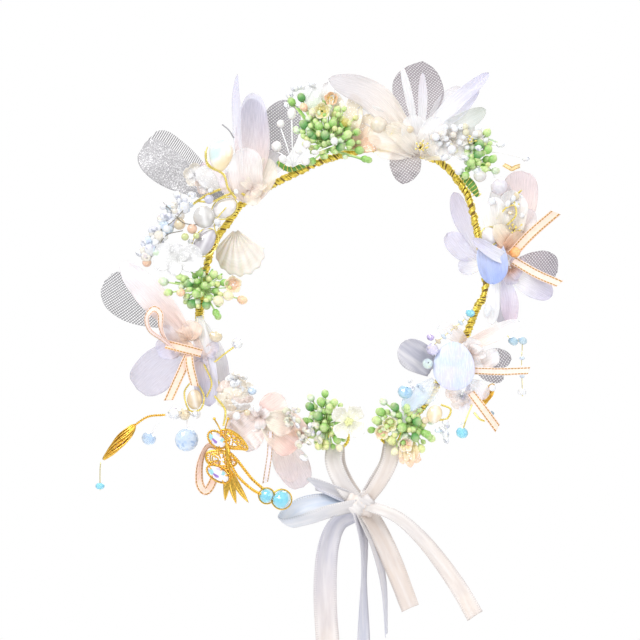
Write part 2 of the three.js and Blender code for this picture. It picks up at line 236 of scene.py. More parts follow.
def organza():
    """Thin woven film: fibres along it, a faint weave, and edges that look denser."""
    paint = Paint("organza", Roughness=0.5, Sheen_Weight=0.35, Sheen_Roughness=0.4,
        Specular_IOR_Level=0.35)
    paint.set(Subsurface_Weight=0.25, Subsurface_Radius=(0.004, 0.0034, 0.003))
    fibres = paint.noise(1.0, 4, paint.stretched((2.6, 0.16, 1)))
    weave = threads(paint, paint.stretched((1, 1, 1), 0.2), 0.34, 0.14)
    edge = paint.span(paint.from_middle(), 0.94, 0.99)
    opacity = paint.times(paint.math("POWER", paint.attribute("tint", "Alpha"), 1.5), 0.8)
    opacity = paint.times(opacity, paint.span(fibres, 0.3, 0.7, 0.88, 1.12))
    opacity = paint.times(opacity, paint.span(weave, 0, 1, 0.9, 1.18))
    opacity = paint.plus(opacity, paint.times(edge, 0.16))
    paint.set(Alpha=opacity, Base_Color=paint.tinted(fibres, 0.97, 1.05))
    paint.bump(paint.plus(fibres, paint.times(weave, 0.15)), 0.35, 0.25)
    return paint.material


def netting():
    """Tulle: dark threads with thin grey film between them, as the petals' grey mesh shows."""
    paint = Paint("netting", Roughness=0.6, Sheen_Weight=0.2)
    net = threads(paint, paint.stretched((1, 1.15, 1), 0.5), 1.27, 0.5)
    cloud = paint.noise(0.25, 3)
    tint = paint.tinted(cloud, 0.9, 1.06)
    shaded = paint.mix(net, tint, (0.56, 0.53, 0.57, 1), "MULTIPLY")
    opacity = paint.times(paint.attribute("tint", "Alpha"), paint.span(net, 0, 1, 0.28, 0.8))
    paint.set(Base_Color=shaded, Alpha=opacity)
    paint.bump(net, 0.5, 0.2)
    return paint.material


def striped_net():
    """A coarser net whose crosswise threads are the darker ones."""
    paint = Paint("striped_net", Roughness=0.6, Sheen_Weight=0.2)
    x, y, _ = paint.parts(paint.stretched((1, 1, 1), 0.35))
    across = paint.span(paint.pingpong(y, 0.58), 0.16, 0.30, 1, 0)
    along = paint.span(paint.pingpong(x, 0.5), 0.12, 0.24, 0.8, 0)
    net = paint.math("MAXIMUM", across, along)
    shaded = paint.mix(net, paint.tinted(paint.noise(0.3), 0.95, 1.05), (0.13, 0.125, 0.14, 1))
    paint.set(Base_Color=shaded, Alpha=paint.span(net, 0, 1, 0.2, 0.66))
    paint.bump(net, 0.5, 0.2)
    return paint.material


def glitter():
    """Silver-grey net strewn with flecks, with a plain striped band of net along one edge."""
    paint = Paint("glitter", Roughness=0.35)
    spot = paint.place()
    fleck = paint.node("TexVoronoi", {"Vector": spot, "Scale": 4.0}, out="Color")
    hue = paint.parts(fleck)
    bright = paint.span(hue[0], 0.80, 0.93)
    dark = paint.span(hue[1], 0.62, 0.75)
    across = paint.parts(paint.stretched((1, 1, 1), 1.5))[0]
    stripe = paint.span(paint.pingpong(across, 0.55), 0.14, 0.30, 1, 0)
    band = paint.span(paint.parts(paint.attribute("span"))[1], 0.42, 0.52)
    base = paint.mix(dark, paint.tinted(paint.noise(0.3), 0.9, 1.1), (0.30, 0.29, 0.30, 1))
    base = paint.mix(bright, base, (0.97, 0.96, 0.98, 1))
    plain = paint.mix(stripe, (0.78, 0.76, 0.79, 1), (0.10, 0.09, 0.10, 1))
    paint.set(Base_Color=paint.mix(band, base, plain))
    strewn = paint.plus(paint.times(bright, 0.3), 0.56)
    bare = paint.span(stripe, 0, 1, 0.14, 0.6)
    gap = paint.node("Mix", {0: band, 2: strewn, 3: bare}, data_type="FLOAT")
    paint.set(Alpha=gap, Metallic=paint.times(bright, 0.5))
    paint.bump(hue[2], 0.6, 0.35)
    return paint.material


def satin():
    """The ribbon: long streaks of painted sheen, clouds of painted bluish light, and small stitches along
    its edges.
    """
    paint = Paint("satin", Roughness=0.36, Sheen_Weight=0.25, Anisotropic=0.5, Specular_IOR_Level=0.6)
    painted_light_cloud = paint.noise(0.06, 3)
    tint = paint.attribute("tint", "Color")
    # Painted light: the tint turned bluish in soft clouds.
    cool = paint.mix(paint.span(painted_light_cloud, 0.4, 0.62), tint, (0.88, 0.895, 0.95, 1), "MULTIPLY")
    fine = paint.noise(1.0, 2, paint.stretched((5.0, 0.35, 1)))
    side = paint.from_middle()
    _, along, _ = paint.parts(paint.place())
    tick = paint.span(paint.pingpong(along, 0.55), 0.16, 0.32, 1, 0)
    picot = paint.times(tick, paint.span(side, 0.70, 0.78))
    # Painted sheen: lighter streaks along the ribbon.
    streak = paint.noise(1.0, 3, paint.stretched((0.3, 0.035, 1)))
    soft = paint.mix(paint.span(fine, 0.3, 0.7, 0.2, 0.8), tint, cool)
    soft = paint.mix(paint.span(streak, 0.42, 0.72, 0, 0.6), soft, (0.90, 0.87, 0.86, 1))
    paint.set(Base_Color=paint.mix(paint.times(picot, 0.32), soft, (0.42, 0.40, 0.42, 1)))
    paint.bump(paint.plus(fine, paint.times(picot, 1.5)), 0.35, 0.2)
    return paint.material


def trim():
    """Narrow ribbon, ribbed across, with a gold thread stitched in dashes along each edge."""
    paint = Paint("trim", Roughness=0.5, Sheen_Weight=0.3)
    side = paint.from_middle()
    _, along, _ = paint.parts(paint.place())
    dash = paint.span(paint.pingpong(along, 0.8), 0.16, 0.30)
    low = paint.span(side, 0.55, 0.62)
    high = paint.span(side, 0.82, 0.90, 1, 0)
    line = paint.times(low, high)
    gold = paint.times(line, paint.span(dash, 0, 1, 0.35, 1))
    rib = paint.pingpong(along, 0.22)
    base = paint.tinted(paint.noise(0.5), 0.92, 1.05)
    paint.set(Base_Color=paint.mix(gold, base, (0.50, 0.27, 0.045, 1)))
    paint.set(Metallic=paint.times(gold, 0.6))
    paint.bump(paint.plus(paint.times(rib, 2.0), gold), 0.4, 0.2)
    return paint.material


def gold(name, tone, roughness):
    """Warm metal with patches of painted shade and fine drawn lines."""
    paint = Paint(name, Metallic=1.0, Roughness=roughness)
    painted_shade_patches = paint.noise(0.8, 4)
    lines = paint.noise(1.0, 2, paint.stretched((6, 0.8, 1)))
    # deep is the tone darkened to 0.7: the painted shade in those patches.
    deep = tuple(c * 0.7 for c in tone[:3]) + (1,)
    paint.set(Base_Color=paint.mix(paint.span(painted_shade_patches, 0.42, 0.66), tone, deep))
    paint.bump(lines, 0.25, 0.12)
    return paint.material


def pearl():
    """White pearl with a thin film of colour."""
    paint = Paint("pearl", Roughness=0.28, Coat_Weight=0.9, Coat_Roughness=0.08, Subsurface_Weight=0.15)
    paint.set(Subsurface_Radius=(0.002, 0.0016, 0.0014), Specular_IOR_Level=0.7)
    paint.set(Thin_Film_Thickness=330.0, Thin_Film_IOR=1.5)
    paint.set(Base_Color=paint.tinted(paint.noise(0.5, 2), 0.80, 0.94))
    paint.bump(paint.noise(1.4, 3), 0.08, 0.2)
    return paint.material


def iridescent_pearl():
    """The large drop, painted from blue green to peach across its face: partly the pearl's own iridescence,
    partly a painted highlight where the blue green sits.
    """
    paint = Paint("iridescent_pearl", Roughness=0.2, Coat_Weight=1.0, Coat_Roughness=0.05)
    across = paint.parts(paint.place())
    sweep = paint.math("SUBTRACT", paint.times(across[0], 0.07), paint.times(across[2], 0.05))
    sweep = paint.plus(sweep, paint.times(paint.noise(0.16, 2), 0.9))
    stops = ((0.3, (0.92, 0.80, 0.62)), (0.5, (0.90, 0.88, 0.85)), (0.72, (0.64, 0.78, 0.78)))
    sheen = paint.ramp(sweep, (0.90, 0.72, 0.46), (0.78, 0.82, 0.82), stops)
    paint.set(Base_Color=sheen, Thin_Film_Thickness=420.0, Thin_Film_IOR=1.6)
    return paint.material


def cut_glass(name, first, flashes, cell, strength):
    """Cut glass over a foil coat: each facet throws back a different tint, painted into its base colour as
    a reflection.
    """
    paint = Paint(name, Roughness=0.05, Coat_Weight=1.0, Coat_Roughness=0.02, Transmission_Weight=0.15,
        IOR=1.5)
    cells = paint.node("TexVoronoi", {"Vector": paint.place(), "Scale": cell}, out="Color")
    # Painted reflections: one tint for each facet's cell.
    tints = paint.ramp(paint.parts(cells)[0], first, (0.97, 0.98, 1.0), flashes, steps=True)
    paint.set(Base_Color=paint.mix(strength, tints, paint.attribute("tint", "Color"), "MULTIPLY"))
    return paint.material


def aurora():
    """Clear beads: mostly white, with a few lilac, straw and dark facets, all painted reflections."""
    flashes = (
        (0.18, (0.97, 0.98, 1.0)), (0.44, (0.85, 0.82, 0.94)), (0.50, (1.0, 1.0, 0.99)),
        (0.66, (0.98, 0.95, 0.80)), (0.73, (0.58, 0.60, 0.66)), (0.75, (0.93, 0.96, 0.99)),
    )
    return cut_glass("aurora", (0.91, 0.94, 0.98), flashes, 0.75, 0.92)


def navette_glass():
    """The charm's pointed stones: lilac white, with a broad aqua and a violet flash."""
    flashes = (
        (0.22, (0.93, 0.92, 1.0)), (0.40, (0.36, 0.20, 0.66)), (0.50, (0.97, 0.96, 1.0)),
        (0.62, (0.42, 0.80, 0.84)), (0.74, (0.96, 0.94, 0.98)),
    )
    return cut_glass("navette_glass", (0.72, 0.70, 0.90), flashes, 0.42, 0.9)


def tinted_glass():
    """Coloured cut beads, whose facets differ only a little."""
    flashes = (
        (0.30, (1.0, 1.0, 1.0)), (0.50, (0.80, 0.88, 1.0)), (0.68, (1.0, 1.0, 1.0)),
        (0.90, (0.62, 0.72, 0.88)),
    )
    return cut_glass("tinted_glass", (0.93, 0.96, 1.0), flashes, 0.7, 1.0)


def ivory_shell():
    """Thin ivory shell, banded along its growth lines."""
    paint = Paint("ivory_shell", Roughness=0.32, Coat_Weight=0.5, Coat_Roughness=0.12,
        Subsurface_Weight=0.4)
    paint.set(Subsurface_Radius=(0.004, 0.003, 0.002))
    bands = paint.noise(1.0, 3, paint.stretched((0.2, 1.1, 1)))
    paint.set(Base_Color=paint.tinted(bands, 0.93, 1.04), Alpha=0.93)
    paint.bump(bands, 0.3, 0.25)
    return paint.material


def moonstone():
    """Milky stone with a band of light that floats along its length."""
    paint = Paint("moonstone", Roughness=0.12, Coat_Weight=1.0, Coat_Roughness=0.03,
        Subsurface_Weight=0.35)
    paint.set(Subsurface_Radius=(0.003, 0.003, 0.003))
    x, _, z = paint.parts(paint.place())
    away = paint.math("ABSOLUTE", paint.plus(x, paint.times(z, 0.25)))
    band = paint.span(away, 0.2, 1.7, 0.55, 0)
    milk = paint.tinted(paint.noise(0.4, 3), 0.92, 1.04)
    paint.set(Base_Color=paint.mix(band, milk, (0.97, 0.97, 0.98, 1)))
    return paint.material


def greens():
    """Soft moulded berries and stems, mottled, a little translucent."""
    paint = Paint("greens", Roughness=0.38, Subsurface_Weight=0.35, Specular_IOR_Level=0.5)
    paint.set(Subsurface_Radius=(0.0012, 0.0024, 0.0008))
    paint.set(Base_Color=paint.tinted(paint.noise(0.9, 4), 0.8, 1.12))
    paint.bump(paint.noise(2.2, 3), 0.2, 0.25)
    return paint.material


def frosted():
    """Frosted plastic petals and sequins with a faint sparkle."""
    paint = Paint("frosted", Roughness=0.45, Subsurface_Weight=0.2, Coat_Weight=0.3, Coat_Roughness=0.2)
    paint.set(Subsurface_Radius=(0.002, 0.002, 0.002))
    veins = paint.noise(1.0, 4, paint.stretched((1.8, 0.3, 1)))
    cell = paint.node("TexVoronoi", {"Vector": paint.place(), "Scale": 2.2}, out="Color")
    spark = paint.span(paint.parts(cell)[0], 0.86, 0.95)
    paint.set(Base_Color=paint.mix(spark, paint.tinted(veins, 0.90, 1.04), (1, 1, 1, 1)))
    paint.set(Alpha=paint.plus(paint.attribute("tint", "Alpha"), paint.times(spark, 0.3)))
    paint.bump(paint.plus(veins, paint.times(spark, 0.6)), 0.4, 0.25)
    return paint.material


def brushed_shell():
    """Pale blue mother of pearl, with short brushed streaks and a lilac cloud."""
    paint = Paint("brushed_shell", Roughness=0.4, Coat_Weight=0.2, Coat_Roughness=0.3)
    cloud = paint.noise(0.13, 3)
    streaks = paint.noise(1.0, 5, paint.stretched((1.5, 1.5, 0.22), 0.4), 0.7)
    base = paint.mix(paint.span(cloud, 0.4, 0.62), (0.58, 0.67, 0.90, 1), (0.68, 0.66, 0.87, 1))
    paint.set(Base_Color=paint.mix(paint.span(streaks, 0.42, 0.7, 0, 0.7), base, (0.86, 0.91, 0.98, 1)))
    paint.bump(streaks, 0.35, 0.25)
    return paint.material


def enamel():
    """The white and grey wires that carry pearls and beads."""
    paint = Paint("enamel", Roughness=0.3, Coat_Weight=0.4)
    paint.set(Base_Color=paint.tinted(paint.noise(1.5), 0.88, 1.05))
    paint.bump(paint.noise(3.0), 0.2, 0.1)
    return paint.material


def colour(red, green, blue, opacity=1.0):
    """A screen colour, 0 to 255, as Blender's linear one."""
    screen = (red, green, blue)
    linear = [((c / 255 + 0.055) / 1.055) ** 2.4 if c > 10 else c / 255 / 12.92 for c in screen]
    return (*linear, opacity)


ORGANZA = organza()
NETTING = netting()
STRIPED_NET = striped_net()
GLITTER = glitter()
SATIN = satin()
TRIM = trim()
WOUND_GOLD = gold("wound_gold", colour(255, 232, 112), 0.34)
CHARM_GOLD = gold("charm_gold", colour(252, 206, 94), 0.27)
FINE_GOLD = gold("fine_gold", colour(255, 238, 140), 0.3)
PEARL = pearl()
DROP_PEARL = iridescent_pearl()
AURORA = aurora()
NAVETTE = navette_glass()
TINTED = tinted_glass()
IVORY_SHELL = ivory_shell()
MOONSTONE = moonstone()
GREENS = greens()
FROSTED = frosted()
SHELL = brushed_shell()
ENAMEL = enamel()

WHITE = colour(250, 250, 252)
CREAM = colour(246, 238, 224)
BLUSH = colour(245, 226, 216)
PEACH = colour(250, 208, 178)
LILAC = colour(217, 215, 234)
GREY_LILAC = colour(208, 204, 218)
PALE_GREY = colour(224, 220, 226)
AQUA = colour(150, 226, 242)
PALE_BLUE = colour(222, 236, 248)
CLEAR = colour(250, 250, 251)
CHAMPAGNE = colour(240, 222, 188)
DARK_GREEN = colour(96, 162, 88)
GREEN = colour(152, 202, 108)
LIGHT_GREEN = colour(201, 228, 154)
YELLOW_GREEN = colour(222, 228, 158)
PALE_GREEN = colour(222, 238, 212)
BUD_CREAM = colour(240, 234, 204)


def veil(tint, opacity):
    """The tint made see-through."""
    return (*tint[:3], opacity)


def blend(first, last, share):
    """The colour a share of the way from the first to the last."""
    return [a + (b - a) * share for a, b in zip(first, last)]


USUAL_SLOT = {
    ORGANZA: "organza", NETTING: "mesh_fabric", STRIPED_NET: "mesh_fabric", GLITTER: "mesh_fabric",
    SATIN: "satin_ribbon", TRIM: "peach_ribbon", WOUND_GOLD: "gold_wire", CHARM_GOLD: "gold_charm",
    FINE_GOLD: "gold_charm", ENAMEL: "gold_wire", PEARL: "pearl", DROP_PEARL: "pearl", AURORA: "crystal",
    NAVETTE: "crystal", TINTED: "crystal", IVORY_SHELL: "shell", SHELL: "shell", MOONSTONE: "moonstone",
    GREENS: "green_berries", FROSTED: "frosted_plastic",
}
USUAL_THICKNESS = {ORGANZA: 0.12, NETTING: 0.14, STRIPED_NET: 0.14, GLITTER: 0.14, TRIM: 0.25}
FACETED = (AURORA, NAVETTE, TINTED)


# ---------------------------------------------------------------- mesh tools


def through(points, steps, closed=False):
    """Even steps along a smooth line through the points."""
    knots = np.array(points, float)
    if closed:
        padded = np.vstack([knots[-1:], knots, knots[:2]])
    else:
        padded = np.vstack([2 * knots[0] - knots[1], knots, 2 * knots[-1] - knots[-2]])
    share = np.linspace(0, 1, 16, endpoint=False)[:, None]
    fine = []
    for a, b, c, d in zip(padded, padded[1:], padded[2:], padded[3:]):
        bend = (2 * a - 5 * b + 4 * c - d) * share**2 + (3 * b - a - 3 * c + d) * share**3
        fine.append(0.5 * (2 * b + (c - a) * share + bend))
    fine.append(padded[-2:-1])
    fine = np.vstack(fine)
    reach = np.concatenate([[0], np.cumsum(np.linalg.norm(np.diff(fine, axis=0), axis=1))])
    want = np.linspace(0, reach[-1], steps + 1)
    return np.column_stack([np.interp(want, reach, fine[:, k]) for k in range(3)])


def unit(vectors):
    return vectors / np.maximum(np.linalg.norm(vectors, axis=-1, keepdims=True), 1e-9)


def length_of(line):
    return float(np.linalg.norm(np.diff(line, axis=0), axis=1).sum())


def rolled(side, normal, angle):
    """Two directions square to a line, turned about it."""
    cos, sin = math.cos(angle), math.sin(angle)
    return side * cos + normal * sin, normal * cos - side * sin


def golden(k, step=0.618):
    """Number k of a sequence that fills 0 to 1 evenly."""
    return k * step % 1


def carried_frames(line):
    """Two directions square to the line at each point, carried along it without twisting."""
    along = unit(np.gradient(line, axis=0))
    first = np.cross(along[0], (0, 1, 0) if abs(along[0][1]) < 0.9 else (1, 0, 0))
    sides = [unit(first)]
    for direction in along[1:]:
        carried = sides[-1] - direction * np.dot(sides[-1], direction)
        sides.append(unit(carried))
    sides = np.array(sides)
    return sides, np.cross(along, sides)


def tilted(degrees):
    """The rotation in the picture plane, as a 3x3 array."""
    return np.array(Matrix.Rotation(math.radians(degrees), 3, "Y"))


def oval(centre, wide, tall, count, tilt=0.0):
    """Points round an upright oval that faces the front, with its half width and half height."""
    a = np.linspace(0, 2 * math.pi, count, endpoint=False)
    return list(np.column_stack([wide * np.cos(a), 0 * a, tall * np.sin(a)]) @ tilted(tilt).T + centre)


def turn_to(axis):
    """The rotation that takes +Z to the axis, as a 3x3 array."""
    return np.array(Vector(axis).to_track_quat("Z", "Y").to_matrix())


class Pile:
    """Shapes gathered into one named piece, which becomes a mesh when all of them are ready.

    Each point keeps a tint, its place in millimetres on its own part, and its span: 0 to 1 along the part
    and -1 to 1 across it.
    """

    every = []  # all the piles, in the order in which they become meshes

    def __init__(self, name, material, *stands_for, body="ring", slot=None, smooth=None, thickness=None):
        self.name, self.material, self.stands_for, self.body = name, material, stands_for, body
        self.slot = slot or USUAL_SLOT[material]
        self.smooth = material not in FACETED if smooth is None else smooth
        self.thickness = USUAL_THICKNESS.get(material, 0.0) if thickness is None else thickness
        self.sheet = None
        self.points, self.faces, self.tints, self.places, self.spans = [], [], [], [], []
        self.count = 0
        Pile.every.append(self)

    def add(self, points, faces, tint, place=None, span=None):
        """Adds one shape, whose faces count its own points from 0."""
        points = np.asarray(points, float)
        number = len(points)
        tint = np.broadcast_to(np.asarray(tint, float), (number, 4))
        place = points if place is None else place
        span = np.zeros((number, 3)) if span is None else span
        self.points.append(points)
        self.tints.append(tint)
        self.places.append(place)
        self.spans.append(span)
        self.faces.extend(tuple(int(i) + self.count for i in face) for face in faces)
        self.count += number

    def make(self):
        """Builds the mesh and tells the frame which body it rides on and which nodes it replaces."""
        mesh = bpy.data.meshes.new(self.name)
        mesh.from_pydata((np.vstack(self.points) * MM).tolist(), [], self.faces)
        mesh.update()
        for key, kind, values in (
            ("tint", "FLOAT_COLOR", self.tints),
            ("place", "FLOAT_VECTOR", self.places),
            ("span", "FLOAT_VECTOR", self.spans),
        ):
            field = mesh.attributes.new(key, kind, "POINT")
            field.data.foreach_set("color" if key == "tint" else "vector", np.vstack(values).ravel())
        mesh.polygons.foreach_set("use_smooth", [self.smooth] * len(mesh.polygons))
        mesh.materials.append(self.material)
        piece = bpy.data.objects.new(self.name, mesh)
        bpy.context.scene.collection.objects.link(piece)
        if self.thickness:
            shell = piece.modifiers.new("thickness", "SOLIDIFY")
            shell.thickness = self.thickness * MM
            shell.offset = 0
        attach(piece, self.body)
        if self.stands_for:
            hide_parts(*self.stands_for)


def grid_faces(rows, columns, wrap=False):
    """Faces of a grid of points, rows by columns; wrap joins each row's end to its start."""
    across = columns if wrap else columns - 1
    faces = []
    for i in range(rows - 1):
        for j in range(across):
            k = (j + 1) % columns
            faces.append((i * columns + j, i * columns + k, (i + 1) * columns + k, (i + 1) * columns + j))
    return faces


def tube(pile, points, radius, tint=WHITE, sides=6, steps=None, closed=False):
    """A round wire; radius is a number, or a function of 0 to 1 along it."""
    steps = steps or 6 * len(points)
    line = through(points, steps, closed) if len(points) < steps + 1 else np.array(points, float)
    sweep_line(pile, line, radius, tint, sides, closed)


def sweep_line(pile, line, radius, tint, sides=6, closed=False):
    """Sweeps a circle along a line that already has its even steps."""
    side, up = carried_frames(line)
    share = np.linspace(0, 1, len(line))
    radii = np.array([radius(u) for u in share]) if callable(radius) else np.full(len(line), radius)
    angle = np.linspace(0, 2 * math.pi, sides, endpoint=False)
    ring = np.cos(angle)[None, :, None] * side[:, None] + np.sin(angle)[None, :, None] * up[:, None]
    points = (line[:, None] + ring * radii[:, None, None]).reshape(-1, 3)
    faces = grid_faces(len(line), sides, wrap=True)
    last = (len(line) - 1) * sides
    if closed:
        faces = [tuple(i % last for i in face) for face in faces]
        points = points[:last]
    else:
        faces += [tuple(range(sides))[::-1], tuple(range(last, last + sides))]
    reach = np.linspace(0, length_of(line), len(line))
    place = np.column_stack([np.tile(angle * np.mean(radii), len(line)), np.repeat(reach, sides),
        np.zeros(len(line) * sides)])
    span = np.column_stack([np.repeat(share, sides), np.tile(np.cos(angle), len(line)),
        np.zeros(len(line) * sides)])
    pile.add(points, faces, tint, place[: len(points)], span[: len(points)])


def twisted_wire(pile, points, radius, pitch=2.2, closed=False):
    """Two thin wires twisted round each other along a line."""
    length = length_of(through(points, 40, closed))
    steps = max(12, int(length / pitch * 8))
    line = through(points, steps, closed)
    side, up = carried_frames(line)
    turn = np.linspace(0, 2 * math.pi * max(1, round(length / pitch)), len(line))
    for phase in (turn, turn + math.pi):
        strand = line + radius * (np.cos(phase)[:, None] * side + np.sin(phase)[:, None] * up)
        sweep_line(pile, strand, radius, WHITE, 5)


def lathe(pile, centre, profile, axis, tint, sides=18, closed_profile=False, squash=1.0, stagger=False):
    """Turns a profile of (radius, height) about an axis. tint is one colour, or a list with one a row."""
    rows = len(profile)
    turn = turn_to(axis)
    local, tints = [], []
    for i, (radius, height) in enumerate(profile):
        shift = 0.5 if stagger and i % 2 else 0.0
        for k in range(sides):
            angle = 2 * math.pi * (k + shift) / sides
            local.append((radius * math.cos(angle), radius * math.sin(angle) * squash, height))
            tints.append(tint[i] if isinstance(tint, list) else tint)
    local = np.array(local)
    faces = []
    for i in range(rows if closed_profile else rows - 1):
        low, high = i * sides, (i + 1) % rows * sides
        for k in range(sides):
            n = (k + 1) % sides
            if not stagger:
                faces.append((low + k, low + n, high + n, high + k))
            elif i % 2 == 0:
                faces += [(low + k, low + n, high + k), (low + n, high + n, high + k)]
            else:
                faces += [(low + k, low + n, high + n), (low + k, high + n, high + k)]
    if not closed_profile:
        faces += [tuple(range(sides))[::-1], tuple(range((rows - 1) * sides, rows * sides))]
    pile.add(local @ turn.T + np.array(centre, float), faces, tints, local)


def bead(pile, centre, radius, tint, axis=(0.3, 0, 1), squash=1.0, hole=0.16, sides=18):
    """A round bead drilled through along its axis."""
    limit = math.asin(hole)
    profile = []
    for k in range(11):
        angle = -math.pi / 2 + limit + (math.pi - 2 * limit) * k / 10
        profile.append((radius * math.cos(angle), radius * squash * math.sin(angle)))
    lathe(pile, centre, profile, axis, tint, sides=sides, closed_profile=True)


RONDELLE = (  # outline of (radius, height) round to the wall of the hole, as shares of the radius
    (0.16, -0.7), (0.62, -0.62), (0.93, -0.3), (1.0, 0.0), (0.93, 0.3), (0.62, 0.62), (0.16, 0.7),
    (0.12, 0.0),
)


def gem(pile, centre, radius, tint, axis=(0.4, -0.5, 1), height=1.1, sides=8):
    """A faceted rondelle drilled through."""
    profile = [(radius * r, radius * height * h) for r, h in RONDELLE]
    lathe(pile, centre, profile, axis, tint, sides=sides, closed_profile=True, stagger=True)


def cabochon(pile, centre, radii, tint, tilt=0.0, drop=0.0, rows=14, sides=26):
    """A domed stone with a flattened back, tilted in degrees. drop narrows its upper end to a teardrop."""
    rx, ry, rz = radii
    local, tall = [], []
    for i in range(rows + 1):
        polar = math.pi * (i + 0.15) / (rows + 0.3)
        for k in range(sides):
            angle = 2 * math.pi * k / sides
            z = math.cos(polar)
            width = math.sin(polar) * (1 - drop * (z + 1) / 2)
            y = width * math.sin(angle)
            local.append((width * math.cos(angle) * rx, ry * (y if y < 0 else 0.35 * y), z * rz))
            tall.append(z)
    local = np.array(local)
    turn = tilted(tilt)
    faces = grid_faces(rows + 1, sides, wrap=True)
    faces += [tuple(range(sides))[::-1], tuple(range(rows * sides, (rows + 1) * sides))]
    pile.add(local @ turn.T + np.array(centre, float), faces, tint, local)


BERRY = (  # outline of (radius, height) from stem to tip, as shares of the berry's radius
    (0.22, -1.05), (0.62, -0.82), (0.93, -0.35), (1.0, 0.1), (0.84, 0.6), (0.5, 0.95), (0.2, 1.06),
    (0.05, 0.96),
)


def berry(pile, place, radius, tint, direction, tip=None):
    """A moulded bud on its stem: darker where it joins, lighter or blushed at its tip."""
    # The default tip, lighter and yellower, is partly the bud's own colour and partly a painted highlight.
    tip = tip or tuple(0.55 * c + 0.45 * warm for c, warm in zip(tint[:3], (0.86, 0.85, 0.52))) + (1,)
    tints = []
    for _, height in BERRY:
        share = max(0.0, min(1.0, (height + 0.2) / 1.2)) ** 1.5
        shade = 0.72 if height < -0.7 else 1.0
        tints.append([shade * c for c in blend(tint[:3], tip[:3], share)] + [1])
    profile = [(radius * r, radius * 1.08 * h) for r, h in BERRY]
    lathe(pile, place, profile, direction, tints, sides=12)


EDGE_WOBBLE = 0.03  # how uneven a petal's outline is, as a share of its width
EDGE_LAG = 1.9  # the left edge's waves lag the right's, in radians
PLEAT_DEPTH = 0.06  # of the pleats at a gathered base, as a share of the width
PLEATED = 0.45  # the share of a petal's length that they reach
NOTCH_WIDTH = 0.35
NOTCH_REACH = 0.2


def petal(pile, line, width, base, tip, belly=0.6, neck=0.25, cup=0.08, turn=0.0, twist=0.0, ruffle=0.04,
          waves=2.5, fold=0.0, point=0.5, notch=0.0, gather=0.5, phase=0.0, rows=26, columns=15):
    """A petal from its base to its tip along a smooth line.

    belly is where it is widest, and neck its width at the base as a share of width. cup lifts its edges
    forward, fold creases it along its middle, ruffle waves its edges, and gather pleats its base. turn and
    twist roll it, in radians. point is 0.5 for a round tip and 1 for a sharp one, and notch dents the tip.
    """
    centre = through(line, rows)
    length = length_of(centre)
    along = unit(np.gradient(centre, axis=0))
    side = unit(np.cross((0, 1, 0), along))
    normal = np.cross(side, along)
    points, places, spans, tints = [], [], [], []
    for i in range(rows + 1):
        u = (i / rows) ** 0.9
        if u < belly:
            share = neck + (1 - neck) * math.sin(math.pi / 2 * u / belly)
        else:
            share = max(0.02, (1 - ((u - belly) / (1 - belly)) ** 2) ** point)
        spot = min(rows, int(u * rows))
        rest = u * rows - spot
        middle = centre[spot] * (1 - rest) + centre[min(rows, spot + 1)] * rest
        flat, lift = rolled(side[spot], normal[spot], turn + twist * u)
        for v in np.linspace(-1, 1, columns):
            half = width / 2 * share * (1 + EDGE_WOBBLE * math.sin(9 * u + 4 * v + phase))
            beat = 2 * math.pi * waves * u + phase + (EDGE_LAG if v < 0 else 0)
            wave = abs(v) ** 1.6 * math.sin(beat) + 0.5 * math.sin(3.1 * u + 2.3 * v + phase)
            pleat = gather * PLEAT_DEPTH * max(0.0, 1 - u / PLEATED) * math.cos(3.5 * math.pi * v + phase)
            rise = (cup * v * v + fold * abs(v)) * share + ruffle * wave * u**0.7 + pleat
            near_tip = max(0.0, (u - 1) / NOTCH_REACH + 1)
            dent = notch * length * max(0.0, 1 - abs(v) / NOTCH_WIDTH) * near_tip
            points.append(middle + flat * (v * half) + lift * (width * rise) - along[spot] * dent)
            places.append((v * half, u * length, phase * 10))
            spans.append((u, v, 0))
            tints.append(blend(base, tip, u * u * (3 - 2 * u)))
    pile.add(points, grid_faces(rows + 1, columns), tints, np.array(places), np.array(spans))


RIBBON_ROWS = 80
RIBBON_COLUMNS = 9
ROLL_EASE = 13  # rows over which a change of roll is eased
CUT_REACH = 0.1  # the share of a ribbon's length that its slanted end takes


def ribbon(pile, line, width, rolls, tint, end=None, cut=0.0, curl=0.06, fold=0.0):
    """A flat ribbon along a smooth line; gives back its length.

    rolls turn it about the line, in degrees, from start to end: 0 lies square to the front. cut slants its
    far end, in millimetres, curl lifts its edges and fold creases it down its middle.
    """
    centre = through(line, RIBBON_ROWS)
    length = length_of(centre)
    along = unit(np.gradient(centre, axis=0))
    side = [unit(np.cross((0, 1, 0), along[0]))]
    for direction in along[1:]:
        side.append(unit(side[-1] - direction * np.dot(side[-1], direction)))
    side = np.array(side)
    normal = np.cross(side, along)
    share = np.linspace(0, 1, RIBBON_ROWS + 1)
    angles = np.radians(np.interp(share, np.linspace(0, 1, len(rolls)), rolls))
    angles = np.convolve(np.pad(angles, ROLL_EASE // 2, "edge"), np.ones(ROLL_EASE) / ROLL_EASE, "valid")
    points, places, spans, tints = [], [], [], []
    for i, u in enumerate(share):
        flat, lift = rolled(side[i], normal[i], angles[i])
        for v in np.linspace(-1, 1, RIBBON_COLUMNS):
            slant = along[i] * (cut * v * max(0.0, (u - 1) / CUT_REACH + 1))
            rise = width * (curl * v * v + fold * abs(v))
            points.append(centre[i] + flat * (v * width / 2) + lift * rise + slant)
            places.append((v * width / 2, u * length, 0))
            spans.append((u, v, 0))
            tints.append(blend(tint, end or tint, u))
    pile.add(points, grid_faces(RIBBON_ROWS + 1, RIBBON_COLUMNS), tints, np.array(places),
        np.array(spans))
    return length


# ---------------------------------------------------------------- things made many times


STRAY_EVERY = 23  # points of a winding between one change of its pace and the next


